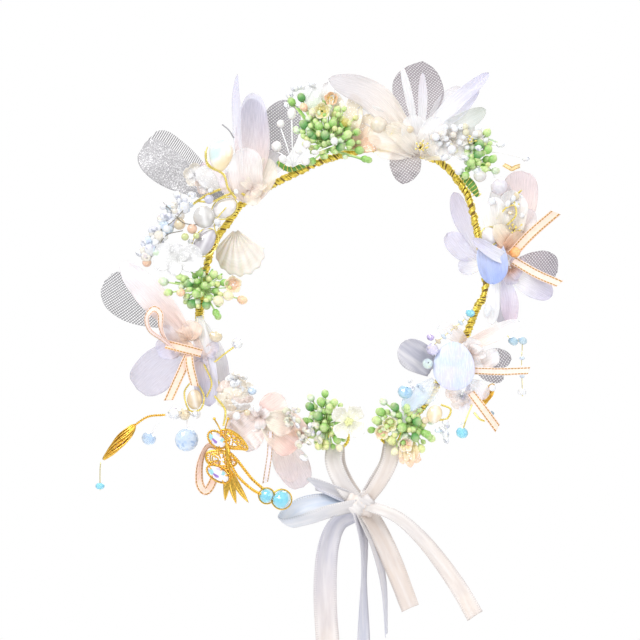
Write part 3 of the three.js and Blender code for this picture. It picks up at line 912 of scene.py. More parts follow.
def winding(pile, points, radius, wire, pitch, stray, strands=1, per_turn=12, sides=6):
    """Wire wound round a line in coils of that radius. stray is how uneven the space between turns is."""
    length = length_of(through(points, 200))
    steps = int(length / pitch * per_turn)
    line = through(points, steps)
    side, up = carried_frames(line)
    marks = np.arange(0, steps + 30, STRAY_EVERY)
    for k in range(strands):
        pace = 1 + stray * np.interp(np.arange(steps + 1), marks, chance.normal(0, 1, len(marks)))
        phase = 2 * math.pi * (np.cumsum(pace) / per_turn + k / strands)
        reach = radius + wire * 0.25 * np.sin(phase * 0.37 + k)
        coil = line + reach[:, None] * (np.cos(phase)[:, None] * side + np.sin(phase)[:, None] * up)
        sweep_line(pile, coil, wire, WHITE, sides)


def ruffle(pile, centre, reach, count, inner, outer, facing, spread, lift=2.0, phase=0.0):
    """Short gathered petals round a centre, the later ones smaller and further forward."""
    for k in range(count):
        share = k / max(1, count - 1)
        angle = math.radians(facing + spread * (((k * GOLDEN_ANGLE) / (2 * math.pi)) % 1 - 0.5))
        away = np.array([math.cos(angle), 0, math.sin(angle)])
        size = reach * (1 - 0.4 * share)
        start = np.array(centre, float) + away * reach * 0.05
        middle = start + away * size * 0.55 + np.array([0, -lift * (0.3 + share), 0])
        end = start + away * size + np.array([0, -lift * (0.1 + 0.8 * share), 0])
        petal(pile, [start, middle, end], size, inner, outer, belly=0.66, neck=0.35, cup=0.16,
            twist=0.5 * math.sin(k * 2.1), ruffle=0.06, waves=2.3, gather=1.0, phase=k * 1.3 + phase,
            rows=18)


def stem_to(pile, root, place, radius):
    """A stem from root to place that bends forward and thins towards its berry."""
    middle = root * 0.45 + place * 0.55 + np.array([0, -0.8, 0])
    tube(pile, [root, middle, place], lambda u: radius * (1.15 - 0.4 * u), LIGHT_GREEN, steps=9)


def spray(name, node, root, berries, fill, count):
    """Moulded berries on short stems that fork from one root, with small buds between them.

    Each berry is (x, y, z, radius, colour), with a 1 added where two of them grow together. fill is the
    centre and the spread of the buds, and count is their number.
    """
    pile = Pile(name, GREENS, node)
    lathe(pile, root, [(0.3, -2.0), (1.3, -1.2), (1.7, 0), (1.2, 1.2), (0.3, 1.8)], (0, -1, 0.3), GREEN,
        sides=10)
    root = np.array(root, float)
    for x, y, z, radius, tint, *stretch in berries:
        place = np.array([x, y, z], float)
        away = unit(place - root)
        stem_to(pile, root, place - away * radius * 0.8, 0.5)
        if stretch:
            berry(pile, place - away * radius * 0.4, radius * 0.85, tint, away)
            berry(pile, place + away * radius * 0.5, radius * 0.8, tint, away)
        else:
            berry(pile, place, radius, tint, away)
    centre, spread = np.array(fill[0], float), np.array(fill[1], float)
    for k in range(count):
        height = 1 - 2 * (k + 0.5) / count
        ring = math.sqrt(1 - height * height)
        angle = k * GOLDEN_ANGLE
        reach = 0.6 + 0.4 * golden(k, 0.382)
        place = centre + spread * reach * np.array([ring * math.cos(angle), -abs(ring * math.sin(angle)),
            height])
        away = unit(place - root)
        tint = (LIGHT_GREEN, GREEN, PALE_GREEN, YELLOW_GREEN, LIGHT_GREEN)[k % 5]
        stem_to(pile, (root + centre) / 2, place, 0.34)
        berry(pile, place, 1.25 + 0.5 * golden(k), tint, away)


def cup_flower(pile, centre, radius, inner, outer, petals=5, turn=0.4, lift=2.5, phase=0.0):
    """A small open flower facing the front."""
    for k in range(petals):
        angle = 2 * math.pi * k / petals + turn
        away = np.array([math.cos(angle), 0, math.sin(angle)])
        start = np.array(centre, float) + away * radius * 0.12
        middle = start + away * radius * 0.5 + np.array([0, 0.2 * lift, 0])
        end = start + away * radius * 0.9 + np.array([0, -lift, 0])
        petal(pile, [start, middle, end], radius * 0.95, inner, outer, belly=0.62, neck=0.4, cup=0.16,
            ruffle=0.07, gather=0.8, phase=k * 1.9 + phase, rows=14, columns=11)


def stamens(pile, centre, count, reach, spread, direction=(0, -1, 0.3)):
    """Fine gold threads that end in seed beads."""
    turn = turn_to(direction)
    for k in range(count):
        angle = k * GOLDEN_ANGLE
        lean = spread * math.sqrt((k + 0.5) / count)
        local = np.array([math.cos(angle) * lean, math.sin(angle) * lean, 1.0])
        end = np.array(centre, float) + turn @ (local * reach * (0.8 + 0.2 * math.sin(k * 1.7)))
        tube(pile, [centre, (np.array(centre) + end) / 2, end], 0.16, sides=5, steps=4)
        bead(pile, end, 0.5, WHITE, direction, sides=8)


def any_way():
    """A random direction."""
    return unit(chance.normal(0, 1, 3))


def dewdrops(pile, centre, box, count, radius, tints):
    """Small crystals scattered in a box about a centre."""
    for k in range(count):
        shift = chance.uniform(-1, 1, 3) * np.array(box) / 2
        size = radius * chance.uniform(0.75, 1.15)
        gem(pile, np.array(centre) + shift, size, tints[k % len(tints)], any_way(), height=0.85, sides=7)


# ---------------------------------------------------------------- the wire ring

RING_LINE = [
    (-10, 0, -70.5), (-27.5, 0, -70), (-46.5, 0, -63), (-60, 0, -51.5), (-69, 0, -38), (-72.75, 0, -23),
    (-72.5, 0, -7), (-67, 0, 21), (-58.5, 0, 34.5), (-48, 0, 47), (-22.5, 0, 60.5), (-7, 0, 67),
    (17.5, 0, 72), (44.5, 0, 66.5), (57, 0, 55), (63.5, 0, 41.5), (70.3, 0, 4), (65.4, 0, -9),
    (58.5, 0, -26), (45.5, 0, -47), (36.8, 0, -59), (27.5, 0, -66.5),
]
EYELETS = {"left": (-3.5, 0, -72.7), "right": (22.6, 0, -70.8)}
EYELET_RADIUS = 5.2


def wire_ring():
    """The hidden core, the gold wire wound over it, tighter at the left, and the eyelets."""
    # The core's dark olive colour is painted shade: seen between the wraps, it stands for the shadows in
    # their gaps.
    tube(Pile("core_bundle", GREENS, "core_wire", slot="gold_wire"), RING_LINE, 1.35,
        colour(138, 112, 44), sides=8, steps=240)

    wraps = Pile("gold_wraps", WOUND_GOLD, "gold_binding")
    winding(wraps, RING_LINE, 1.5, 0.38, pitch=4.4, stray=0.3, strands=6)
    winding(wraps, RING_LINE, 1.95, 0.24, pitch=6.5, stray=0.5, strands=2, sides=5)
    winding(wraps, [(-71.5, 0, -31), (-72.75, 0, -23), (-72.8, 0, -15), (-72.5, 0, -7)], 2.05, 0.34,
        pitch=0.95, stray=0.1)

    for side, centre in EYELETS.items():
        twisted_wire(Pile(side + "_eyelet_wire", WOUND_GOLD, side + "_eyelet"),
            oval(centre, EYELET_RADIUS, EYELET_RADIUS, 14), 0.45, pitch=2.6, closed=True)


def stem_ties():
    """Green stems bound to the ring with fine pale wire; the second swells like a leaf."""

    def leaf(u):
        return 0.9 + 1.3 * math.sin(math.pi * u)

    stems = Pile("tied_stems", GREENS)
    ties = Pile("stem_tie_wire", FINE_GOLD, slot="gold_wire")
    for line, radius, tie_radius in (
        ([(-34, -3.2, 64.5), (-28, -3.4, 61), (-21, -3.4, 62.8), (-15, -3.2, 66)], 1.3, 1.45),
        ([(57.5, -3.2, 58.5), (62.5, -4.0, 53.5), (66, -3.2, 47.5)], leaf, 2.15),
        ([(-75, -2.8, -8), (-73, -3.0, 2), (-70, -2.8, 11)], 0.9, 1.05),
        ([(30, 2.8, -66), (38, 3.0, -60), (46, 2.8, -49)], 1.0, 1.15),
        ([(-8, 2.8, -72), (-20, 3.0, -72), (-32, 2.8, -69)], 1.0, 1.15),
    ):
        tube(stems, line, radius, colour(104, 160, 70), sides=10, steps=24)
        winding(ties, line, tie_radius, 0.24, pitch=2.1, stray=0.35, per_turn=9, sides=5)


# ---------------------------------------------------------------- the satin ribbon

RIBBON_WIDTH = 10
KNOT_LENGTH = 70
SATIN_WHITE = colour(215, 210, 208)
# The ivory satin with bluish light painted in, and with pinkish light painted in.
SATIN_PAINTED_BLUE_LIGHT = colour(203, 205, 220)
SATIN_PAINTED_PINK_LIGHT = colour(224, 211, 201)


def satin_piece(name, nodes, line, rolls, tint, end, width=RIBBON_WIDTH, held="hung", **shape):
    """One stretch of the ribbon; its length, width and hold are kept on the pile."""
    pile = Pile(name, SATIN, *nodes, body="ribbon", thickness=0.22)
    length = ribbon(pile, line, width, rolls, tint, end, **{"curl": 0.07, **shape})
    pile.sheet = (length, max(width, RIBBON_WIDTH), held)


def knot():
    """The bow's centre: the ribbon wrapped twice round itself and drawn in."""
    pile = Pile("ribbon_knot", SATIN, body="ribbon", thickness=0.3)
    rows, columns = 48, 25
    for tilt, wide, deep, tall, tint in (
        (28, 7.4, 3.0, 4.4, SATIN_PAINTED_PINK_LIGHT),
        (-40, 6.2, 3.3, 4.8, SATIN_WHITE),
    ):
        turn = tilted(tilt)
        points, spans, places = [], [], []
        for i in range(rows):
            angle = 2 * math.pi * i / rows
            for v in np.linspace(-1, 1, columns):
                creases = 0.055 * math.cos(17 * v + 2.2 * math.sin(angle))
                creases += 0.05 * math.sin(3 * angle + 4 * v)
                pleat = 1 + creases - 0.24 * v * v
                points.append((v * wide, deep * pleat * math.cos(angle), tall * pleat * math.sin(angle)))
                spans.append((i / rows, v * 0.8, 0))
                places.append((v * wide, angle * 4, 0))
        faces = [tuple(k % (rows * columns) for k in face) for face in grid_faces(rows + 1, columns)]
        points = np.array(points) @ turn.T + np.array([7.8, -1.3, -106])
        pile.add(points, faces, tint, np.array(places), np.array(spans))
    pile.sheet = (KNOT_LENGTH, RIBBON_WIDTH, "gathered")


def satin_ribbon():
    """Each strand goes through its eyelet and back to the knot; two loops and five tails leave the knot."""
    # The strands' bluish and pinkish tints are painted light on one ivory satin; the blue at the lower
    # loop's start is a painted sheen.
    satin_piece("left_strand", ["ribbon_left_strand"],
        [(5, -2.2, -104), (-1.5, -2.8, -95), (-5.5, -2.8, -85.5), (-5.4, -2.2, -79), (-4.6, 0.2, -76.2),
            (-4.4, 2.4, -79), (-3.6, 2.0, -87), (0.5, 1.6, -96), (6, 0.8, -104)],
        [12, 6, 0, 0, -8], SATIN_WHITE, SATIN_PAINTED_PINK_LIGHT, width=8.6)
    satin_piece("right_strand", ["ribbon_right_strand"],
        [(10.5, -2.0, -103.5), (17, -2.8, -94.5), (22, -2.8, -85), (23.6, -2.2, -77), (23.6, 0.2, -74),
            (23, 2.2, -77.5), (21, 1.8, -86), (15.5, 1.4, -95), (10, 0.6, -103.5)],
        [-34, -12, 0, 0, 14, 30], SATIN_PAINTED_PINK_LIGHT, SATIN_WHITE, width=8.0)
    satin_piece("lower_loop", ["ribbon_bow"],
        [(6, 0.6, -105.5), (-10, 2.6, -105.5), (-21, 2.8, -107.5), (-28.5, 1.0, -112.5),
            (-30.5, -2.2, -115.4), (-27, -5.2, -115.5), (-17, -5.6, -112.8), (-7, -4.2, -109.6),
            (6, -2.4, -107)],
        [-20, -38, -20, 0, 8, 14, 6], colour(204, 220, 240), SATIN_WHITE, width=9.2, held="gathered",
        curl=0.1)
    satin_piece("upper_loop", [],
        [(6.5, -0.6, -104.5), (-2, -1.2, -100.5), (-10, -1.0, -97.2), (-15, 0.4, -95.8),
            (-16.2, 1.8, -96.3), (-13, 2.8, -97.8), (-4, 2.2, -101.5), (6.5, 1.0, -105.5)],
        [20, 34, 40, 34, 24, 20], SATIN_WHITE, colour(212, 216, 232), width=8.0, held="gathered")
    satin_piece("tail_left", ["ribbon_tail_1"],
        [(5.5, 2.6, -109), (-4.5, 3.6, -115), (-9, 4.2, -126), (-10.2, 4.2, -142), (-9.2, 3.9, -165),
            (-8, 3.7, -189.5)],
        [42, 36, 24, 8, -6, 6, 0], SATIN_PAINTED_BLUE_LIGHT, SATIN_PAINTED_PINK_LIGHT, width=11.6, curl=0, fold=0.22)
    satin_piece("tail_narrow", ["ribbon_tail_2"],
        [(6.4, -2.2, -109.5), (8.4, -2.4, -121), (9, -2.3, -131), (8.6, -2.1, -152), (8.8, -1.7, -189.5)],
        [50, 66, 74, 62, 48, 44], colour(208, 206, 214), colour(204, 206, 218))
    satin_piece("tail_edge_on", ["ribbon_tail_3"],
        [(7.4, -0.4, -109.5), (14.5, 0.1, -127), (18.8, 0.7, -147), (20.2, 1.1, -172)],
        [58, 64, 72, 82], SATIN_WHITE, SATIN_PAINTED_BLUE_LIGHT)
    satin_piece("tail_middle", ["ribbon_tail_4"],
        [(9.5, 1.4, -109), (16, 2.4, -119), (25.5, 2.9, -139), (33.2, 3.3, -158.5)],
        [40, 22, 0, -16, -22], SATIN_PAINTED_PINK_LIGHT, SATIN_PAINTED_PINK_LIGHT, cut=0.6, fold=0.12, curl=0)
    satin_piece("tail_right", ["ribbon_tail_5"],
        [(10.5, -4.4, -106.5), (24.5, -6.0, -111.5), (36.5, -6.6, -121.5), (47, -6.8, -134),
            (56.5, -6.7, -147.5), (64.2, -6.5, -160.6)],
        [62, 54, 44, 34, 22, 12], SATIN_WHITE, SATIN_PAINTED_PINK_LIGHT, width=9, fold=0.08, curl=0)
    knot()


# ---------------------------------------------------------------- flower at the top left


def flower_top_left():
    """A glittered and a grey net petal, film petals and frosted buds round a wired teardrop pearl."""
    petal(Pile("petal_glitter", GLITTER, "glitter_petal"),
        [(-60, 5, 47), (-81, 9, 60.5), (-101.5, 13, 76.5)], 25, colour(150, 148, 152),
        colour(196, 194, 198), belly=0.78, neck=0.16, cup=0.05, ruffle=0.025, point=0.3, notch=0.05,
        rows=34, columns=21)

    grey = Pile("petal_grey_net", NETTING, "grey_mesh_petal")
    petal(grey, [(-42, 5, 58), (-34.5, 9, 78), (-28, 13, 98)], 20, colour(206, 202, 206, 0.7),
        colour(190, 186, 192, 0.85), belly=0.62, cup=0.1, ruffle=0.05, rows=34, columns=19)
    petal(grey, [(-47.5, -2.5, 62), (-46.5, -1.5, 78), (-46.2, 1, 97)], 13, colour(210, 205, 212, 0.3),
        colour(150, 146, 152, 0.66), cup=0.1, ruffle=0.05, phase=2)

    film = Pile("film_petals_top_left", ORGANZA, "organza_petals_top_left")
    petal(film, [(-51, -6, 52), (-52.5, -8.5, 80), (-53.2, -11, 107)], 10, veil(WHITE, 0.5),
        veil(LILAC, 0.72), belly=0.55, cup=0.12, turn=1.08, ruffle=0.03)
    petal(film, [(-48, -5.5, 52), (-45.8, -4.5, 76), (-46, -1.2, 99.5)], 17, veil(BLUSH, 0.75),
        veil(LILAC, 0.55), belly=0.45, neck=0.5, cup=0.12, fold=0.06, phase=1)
    petal(film, [(-56, -3, 50), (-64, 0.5, 57), (-73, 2.5, 63.5)], 13, veil(WHITE, 0.5),
        colour(232, 214, 226, 0.6), ruffle=0.09, phase=3)
    petal(film, [(-44, -4, 56), (-37, -4.5, 63), (-30, -3, 69)], 11, veil(CREAM, 0.5),
        veil(PALE_GREY, 0.5), ruffle=0.1)
    soft = colour(248, 232, 224)
    petal(film, [(-46.5, -3, 46), (-49, -8.5, 57), (-48.5, -9.5, 71)], 17, veil(soft, 0.8),
        veil(WHITE, 0.5), neck=0.6, ruffle=0.06, fold=0.05, phase=2)
    petal(film, [(-46.5, -3, 46), (-41.5, -7, 55), (-37.5, -6.5, 66)], 13, veil(soft, 0.8),
        veil(CREAM, 0.6), belly=0.58, neck=0.5, ruffle=0.09, phase=4)
    petal(film, [(-47.5, -3, 47), (-54.5, -7.5, 52), (-61, -7, 57.5)], 12, veil(soft, 0.75),
        colour(240, 228, 236, 0.6), neck=0.5, ruffle=0.08, phase=6)
    ruffle(film, (-46, -6.5, 51), 8, 4, veil(soft, 0.7), veil(CREAM, 0.6), facing=60, spread=300)

    small = Pile("frosted_bud_top_left", FROSTED, thickness=0.2)
    cup_flower(small, (-74.5, -3.5, 58), 6, veil(WHITE, 0.8), veil(CREAM, 0.6), lift=1.4)
    cup_flower(small, (-69.5, -4.5, 53), 5, veil(WHITE, 0.8), veil(BLUSH, 0.6), lift=1.4, phase=3)
    petal(small, [(-63, -5, 50), (-68, -6.5, 55.5), (-72, -6, 62)], 9, veil(WHITE, 0.5), veil(WHITE, 0.6),
        ruffle=0.1)

    cabochon(Pile("teardrop_stone", DROP_PEARL, "teardrop_pearl"), (-61.3, -11.6, 66.8), (7.3, 4.4, 8.2),
        WHITE, tilt=188, drop=0.42, rows=20, sides=32)

    wire = Pile("teardrop_wire", FINE_GOLD)
    twisted_wire(wire, [(-68.8, -11, 69), (-67.5, -11.6, 62), (-60, -11.6, 57.6), (-57.8, -10.6, 51),
        (-54, -8, 46)], 0.34)
    tube(wire, [(-67.8, -12.4, 71), (-68.9, -12.6, 66), (-66, -12.8, 61.4), (-60.8, -13, 58.4)], 0.32)


# ---------------------------------------------------------------- stones and beads up the left side


def stones_left():
    """Wired moonstones, small pearls and a slanting band of crystals, and a frosted white flower."""
    cabochon(Pile("opal_oval", MOONSTONE, "moonstone_oval"), (-59.8, -5.8, 41.4), (4.6, 3, 6.2),
        colour(234, 230, 230), tilt=62)
    cabochon(Pile("opal_round", MOONSTONE, "moonstone_round"), (-69.8, -6.8, 37), (5.5, 3.8, 5.5),
        colour(208, 206, 204))
    cabochon(Pile("opal_drop", MOONSTONE, "moonstone_drop"), (-69.4, -5.6, 24.6), (5.6, 3, 7.6),
        colour(194, 190, 198), tilt=38, drop=0.4)

    wire = Pile("opal_wires", FINE_GOLD)
    twisted_wire(wire, [(-76.5, -4, 43), (-68.5, -6, 48), (-58.5, -7, 51), (-47.5, -5, 47)], 0.36)
    twisted_wire(wire, [(-73, -5, 45), (-66, -8, 44.5), (-59, -9, 47.5), (-52, -6, 50)], 0.3)
    for centre, wide, tall, lean in (
        ((-59.8, -5.6, 41.4), 5.1, 6.7, 62),
        ((-69.4, -5.4, 24.4), 5.9, 7.6, 38),
    ):
        tube(wire, oval(centre, wide, tall, 16, lean), 0.32, steps=48, closed=True)
    tube(wire, [(-58.8, -9, 41.6), (-64.5, -7.6, 34.5), (-64, -6.2, 28.5)], 0.3)

    silver = Pile("silver_wires", ENAMEL)
    tube(silver, [(-73.5, -4, 27.5), (-69, -7.6, 31), (-64, -6.4, 33)], 0.42, PALE_GREY, sides=7)
    for line in (
        [(-96, -7, 17), (-92, -10, 22.5), (-88, -9.5, 28), (-80, -10.5, 30)],
        [(-92, -8, 30), (-87, -10.4, 33), (-82, -10.4, 37.5), (-78, -9, 43)],
        [(-90, -7, 44), (-86, -9.8, 40), (-80, -10.6, 34), (-73, -9, 33)],
    ):
        tube(silver, line, 0.24, colour(120, 114, 100))
    tube(silver, [(-61, -6, 83), (-57.5, -6, 80), (-55.4, -5, 76.5)], 0.36, colour(170, 168, 172))

    pearls = Pile("left_pearls", PEARL)
    for place, radius, tint in (
        ((-63.2, -9.5, 34.5), 1.7, WHITE), ((-67.2, -9.5, 45.5), 2.3, LILAC),
        ((-82, -8, 33.5), 3.0, CHAMPAGNE), ((-75.6, -9, 31), 2.5, PEACH),
        ((-93, -8, 19), 2.5, PALE_GREEN), ((-98.2, -7, 14.5), 2.3, PEACH), ((-88, -10, 31), 1.8, WHITE),
        ((-79, -10, 27), 1.9, YELLOW_GREEN), ((-90, -9, 42), 1.6, WHITE), ((-84, -10, 39.5), 1.5, CREAM),
        ((-73.5, -9.5, 27.5), 1.6, YELLOW_GREEN), ((-96.5, -7, 22.5), 1.7, LIGHT_GREEN),
    ):
        bead(pearls, place, radius, tint, (0.6, -0.5, 0.6))

    stones = Pile("aurora_crystals", AURORA)
    crystals = 54
    for k in range(crystals):
        along, angle = (k + 0.5) / crystals, k * GOLDEN_ANGLE
        reach = math.sqrt(golden(k)) * (1 - 0.35 * along)
        x = -79 - 21 * along + 6.5 * reach * math.cos(angle)
        z = 45.5 - 28 * along + 6.5 * reach * math.sin(angle)
        tint = (colour(232, 233, 243), WHITE, PALE_BLUE, CLEAR, CREAM, colour(240, 240, 244))[k % 6]
        gem(stones, (x, -5.5 - 3 * (1 - reach), z), 1.4 + 1.5 * golden(k, 0.382), tint, any_way(),
            height=1.0 + 0.3 * (k % 3))
    for place, radius in (
        ((-66.5, -9, 50), 1.6), ((-75, -8.5, 47.5), 1.8), ((-54, -8.5, 49.5), 1.4), ((-62.5, -8, 33), 1.3),
        ((-76.5, -8, 25), 1.6),
    ):
        gem(stones, place, radius, CLEAR, any_way(), height=0.95)

    white = Pile("frosted_white_flower", FROSTED, "white_flower", thickness=0.3)
    for away, rise, width, phase in (
        (-11.5, 2.6, 14, 0), (12.5, 1.4, 14, 2), (3.5, 6.5, 10, 4), (-3, -6.8, 8, 6),
    ):
        petal(white, [(-83, -8, 15.5), (-83 + away * 0.5, -10, 15.5 + rise * 0.6),
            (-83 + away, -9.5, 15.5 + rise)], width, colour(240, 240, 238, 0.8),
            colour(246, 246, 248, 0.7), neck=0.4, cup=0.14, ruffle=0.07, gather=0.6, phase=phase)


def shell_fan():
    """A pleated shell: radial folds from the hinge out to a scalloped rim."""
    pile = Pile("pleated_shell", IVORY_SHELL, "shell_fan", thickness=0.5)
    hinge = np.array([-55.2, 3.0, 32])
    rows, columns = 18, 61
    points, tints, places = [], [], []
    for i in range(rows + 1):
        u = i / rows
        for j in range(columns):
            v = j / (columns - 1) * 2 - 1
            angle = math.radians(-84 + 50 * v)
            reach = (1.5 + u * (22.5 - 8.5 * v * v + 2 * v)) * (1 + 0.02 * u * math.cos(24 * v))
            fold = 0.55 * u**0.6 * math.cos(24 * v)
            bulge = -3.2 * math.sin(math.pi * u * 0.8) * (1 - 0.6 * v * v)
            points.append(hinge + np.array([reach * math.cos(angle), 2.4 + bulge + fold,
                reach * math.sin(angle)]))
            band = 0.5 + 0.5 * math.sin(u * 17 + 1.5 * v)
            tints.append(blend(colour(244, 240, 233), colour(228, 213, 200), 0.25 * band + 0.3 * (1 - u)))
            places.append((v * 12, u * 22, 0))
    pile.add(points, grid_faces(rows + 1, columns), tints, np.array(places))


# ---------------------------------------------------------------- flower at the left


def flower_left():
    """A striped net petal, an ivory petal and lilac film, tied with a pink bow, and its beads."""
    petal(Pile("petal_striped_net", STRIPED_NET, "striped_mesh_petal"),
        [(-84, 5, -16.5), (-103, 9, -7), (-122, 12.5, 6)], 22, WHITE, WHITE, belly=0.7, neck=0.2,
        cup=0.06, ruffle=0.03, point=0.42, rows=34, columns=21)

    ivory = Pile("petal_ivory", ORGANZA, "ivory_petal")
    petal(ivory, [(-78, -4.5, -22), (-93, -7.5, -5), (-110.5, -9.5, 14.5)], 14,
        colour(247, 228, 222, 0.8), colour(244, 240, 244, 0.72), belly=0.55, neck=0.45, ruffle=0.1,
        waves=3.6, fold=0.12, gather=1.2, rows=34)
    petal(ivory, [(-80, -3.5, -17), (-88, -6, -9), (-97, -7, 1)], 9, veil(PEACH, 0.7), veil(WHITE, 0.65),
        ruffle=0.1, phase=4)

    film = Pile("film_petals_left", ORGANZA, "lilac_petals_left")
    petal(film, [(-77, 5, -26), (-91, 7.5, -36), (-105.5, 10, -49)], 21, veil(LILAC, 0.6),
        veil(GREY_LILAC, 0.72), belly=0.68, neck=0.35, cup=0.1, ruffle=0.06, point=0.38, rows=30,
        columns=19)
    petal(film, [(-72.5, -3.2, -12), (-70.5, -5.4, -32), (-67.5, -4.6, -57)], 12.5, veil(WHITE, 0.8),
        veil(LILAC, 0.95), belly=0.72, ruffle=0.05, phase=2)
    petal(film, [(-74, 4.6, -12), (-66, 5.4, -32), (-62, 5, -50)], 12, veil(WHITE, 0.6),
        veil(GREY_LILAC, 0.7), belly=0.68, ruffle=0.06, phase=7)
    petal(film, [(-74, -5, -22), (-71.5, -6, -36), (-69.5, -5, -52)], 8, veil(BLUSH, 0.7),
        veil(LILAC, 0.8), ruffle=0.07, phase=9)
    petal(film, [(-78, -4, -23), (-85, -5.5, -26), (-93, -5, -31)], 13, veil(BLUSH, 0.65),
        veil(LILAC, 0.62), ruffle=0.1, phase=1)
    petal(film, [(-81, -6, -27), (-84.5, -8, -24), (-91, -7, -17)], 9, veil(BLUSH, 0.6),
        colour(238, 236, 246, 0.75), turn=0.5, ruffle=0.09, phase=6)

    heart = Pile("apricot_ruffle_left", ORGANZA, slot="rose_fabric", thickness=0.14)
    apricot = colour(253, 224, 204)
    ruffle(heart, (-78, -5, -24.5), 10, 5, veil(apricot, 0.8), colour(254, 234, 222, 0.7), facing=200,
        spread=260, lift=1.6)
    ruffle(heart, (-69, -4.5, -29), 8, 5, veil(BLUSH, 0.8), veil(LILAC, 0.7), facing=-40, spread=240,
        lift=1.6, phase=2)

    trim_pile = Pile("trim_left", TRIM, "pink_bow")
    ribbon(trim_pile, [(-84, -10, -28.5), (-90, -11.2, -23.5), (-96, -11.6, -19), (-97.6, -11.8, -13),
        (-94.4, -12, -8.6), (-91, -12, -11), (-90.6, -11.8, -18), (-88, -11.2, -24), (-83, -10.2, -29.5)],
        3.2, [58, 52, 46, 40, 10, -40, -56, -50], colour(250, 224, 220), colour(250, 222, 208))
    ribbon(trim_pile, [(-76.5, -9.6, -29), (-81, -10.8, -40), (-87, -10.8, -53.5)], 4.5, [30, 6, -14],
        colour(252, 221, 203), cut=1.2)
    ribbon(trim_pile, [(-77, -9.8, -29.5), (-76.6, -11, -36), (-74.2, -10.6, -46.5)], 4.3, [-20, 10, 24],
        colour(252, 223, 206), cut=-1)
    ribbon(trim_pile, [(-88.5, -9.2, -26), (-80, -11.8, -28), (-71, -9.4, -30.4)], 4.5, [8, 0, -12],
        colour(252, 219, 201))

    gold_wire = Pile("wires_left", FINE_GOLD)
    for line in (
        [(-65, -6, -35), (-60, -8, -31), (-54.5, -8, -27)],
        [(-76, -6, -44), (-79.5, -8.5, -50), (-77, -8.6, -58.5), (-71.5, -8.4, -58), (-69.8, -8.4, -52),
            (-72.5, -8, -46)],
        [(-70, -6, -36), (-66, -9, -45), (-68.5, -9, -52)],
    ):
        twisted_wire(gold_wire, line, 0.26)

    cabochon(Pile("cats_eye_stone", MOONSTONE), (-74.5, -7.6, -53.3), (3.8, 2.4, 5.0),
        colour(222, 202, 170))

    stones = Pile("faceted_beads_left", AURORA)
    gem(stones, (-64, -8, -22), 3.4, CHAMPAGNE, (0.3, -0.4, 1))
    gem(stones, (-53.5, -8, -25.5), 2.9, CLEAR, (0.7, -0.2, 0.7), height=1.2)
    gem(stones, (-84.4, -7.2, -60), 3.6, CLEAR, (0.4, -0.4, 1))
    gem(stones, (-79.5, -8.5, -60.5), 3.2, CHAMPAGNE, (1, -0.3, 0.4))
    gem(stones, (-74, -9, -60.5), 1.8, CLEAR, (1, -0.3, 0.4))
    gem(Pile("pale_blue_bead_left", TINTED), (-97.5, -5, -72.8), 3.7, colour(206, 226, 248),
        (0.5, -0.3, 1), sides=9)

    white_wire = Pile("white_wires_left", ENAMEL)
    tube(white_wire, [(-84.5, -6.6, -61), (-90.5, -6, -62), (-97.5, -5, -72.8)], 0.42, sides=7)
    tube(white_wire, [(-74, -5, -57), (-72, -6.4, -60.5), (-73.6, -6.6, -62.6), (-77.4, -6.8, -60)], 0.42,
        sides=7)


# ---------------------------------------------------------------- flower at the lower left


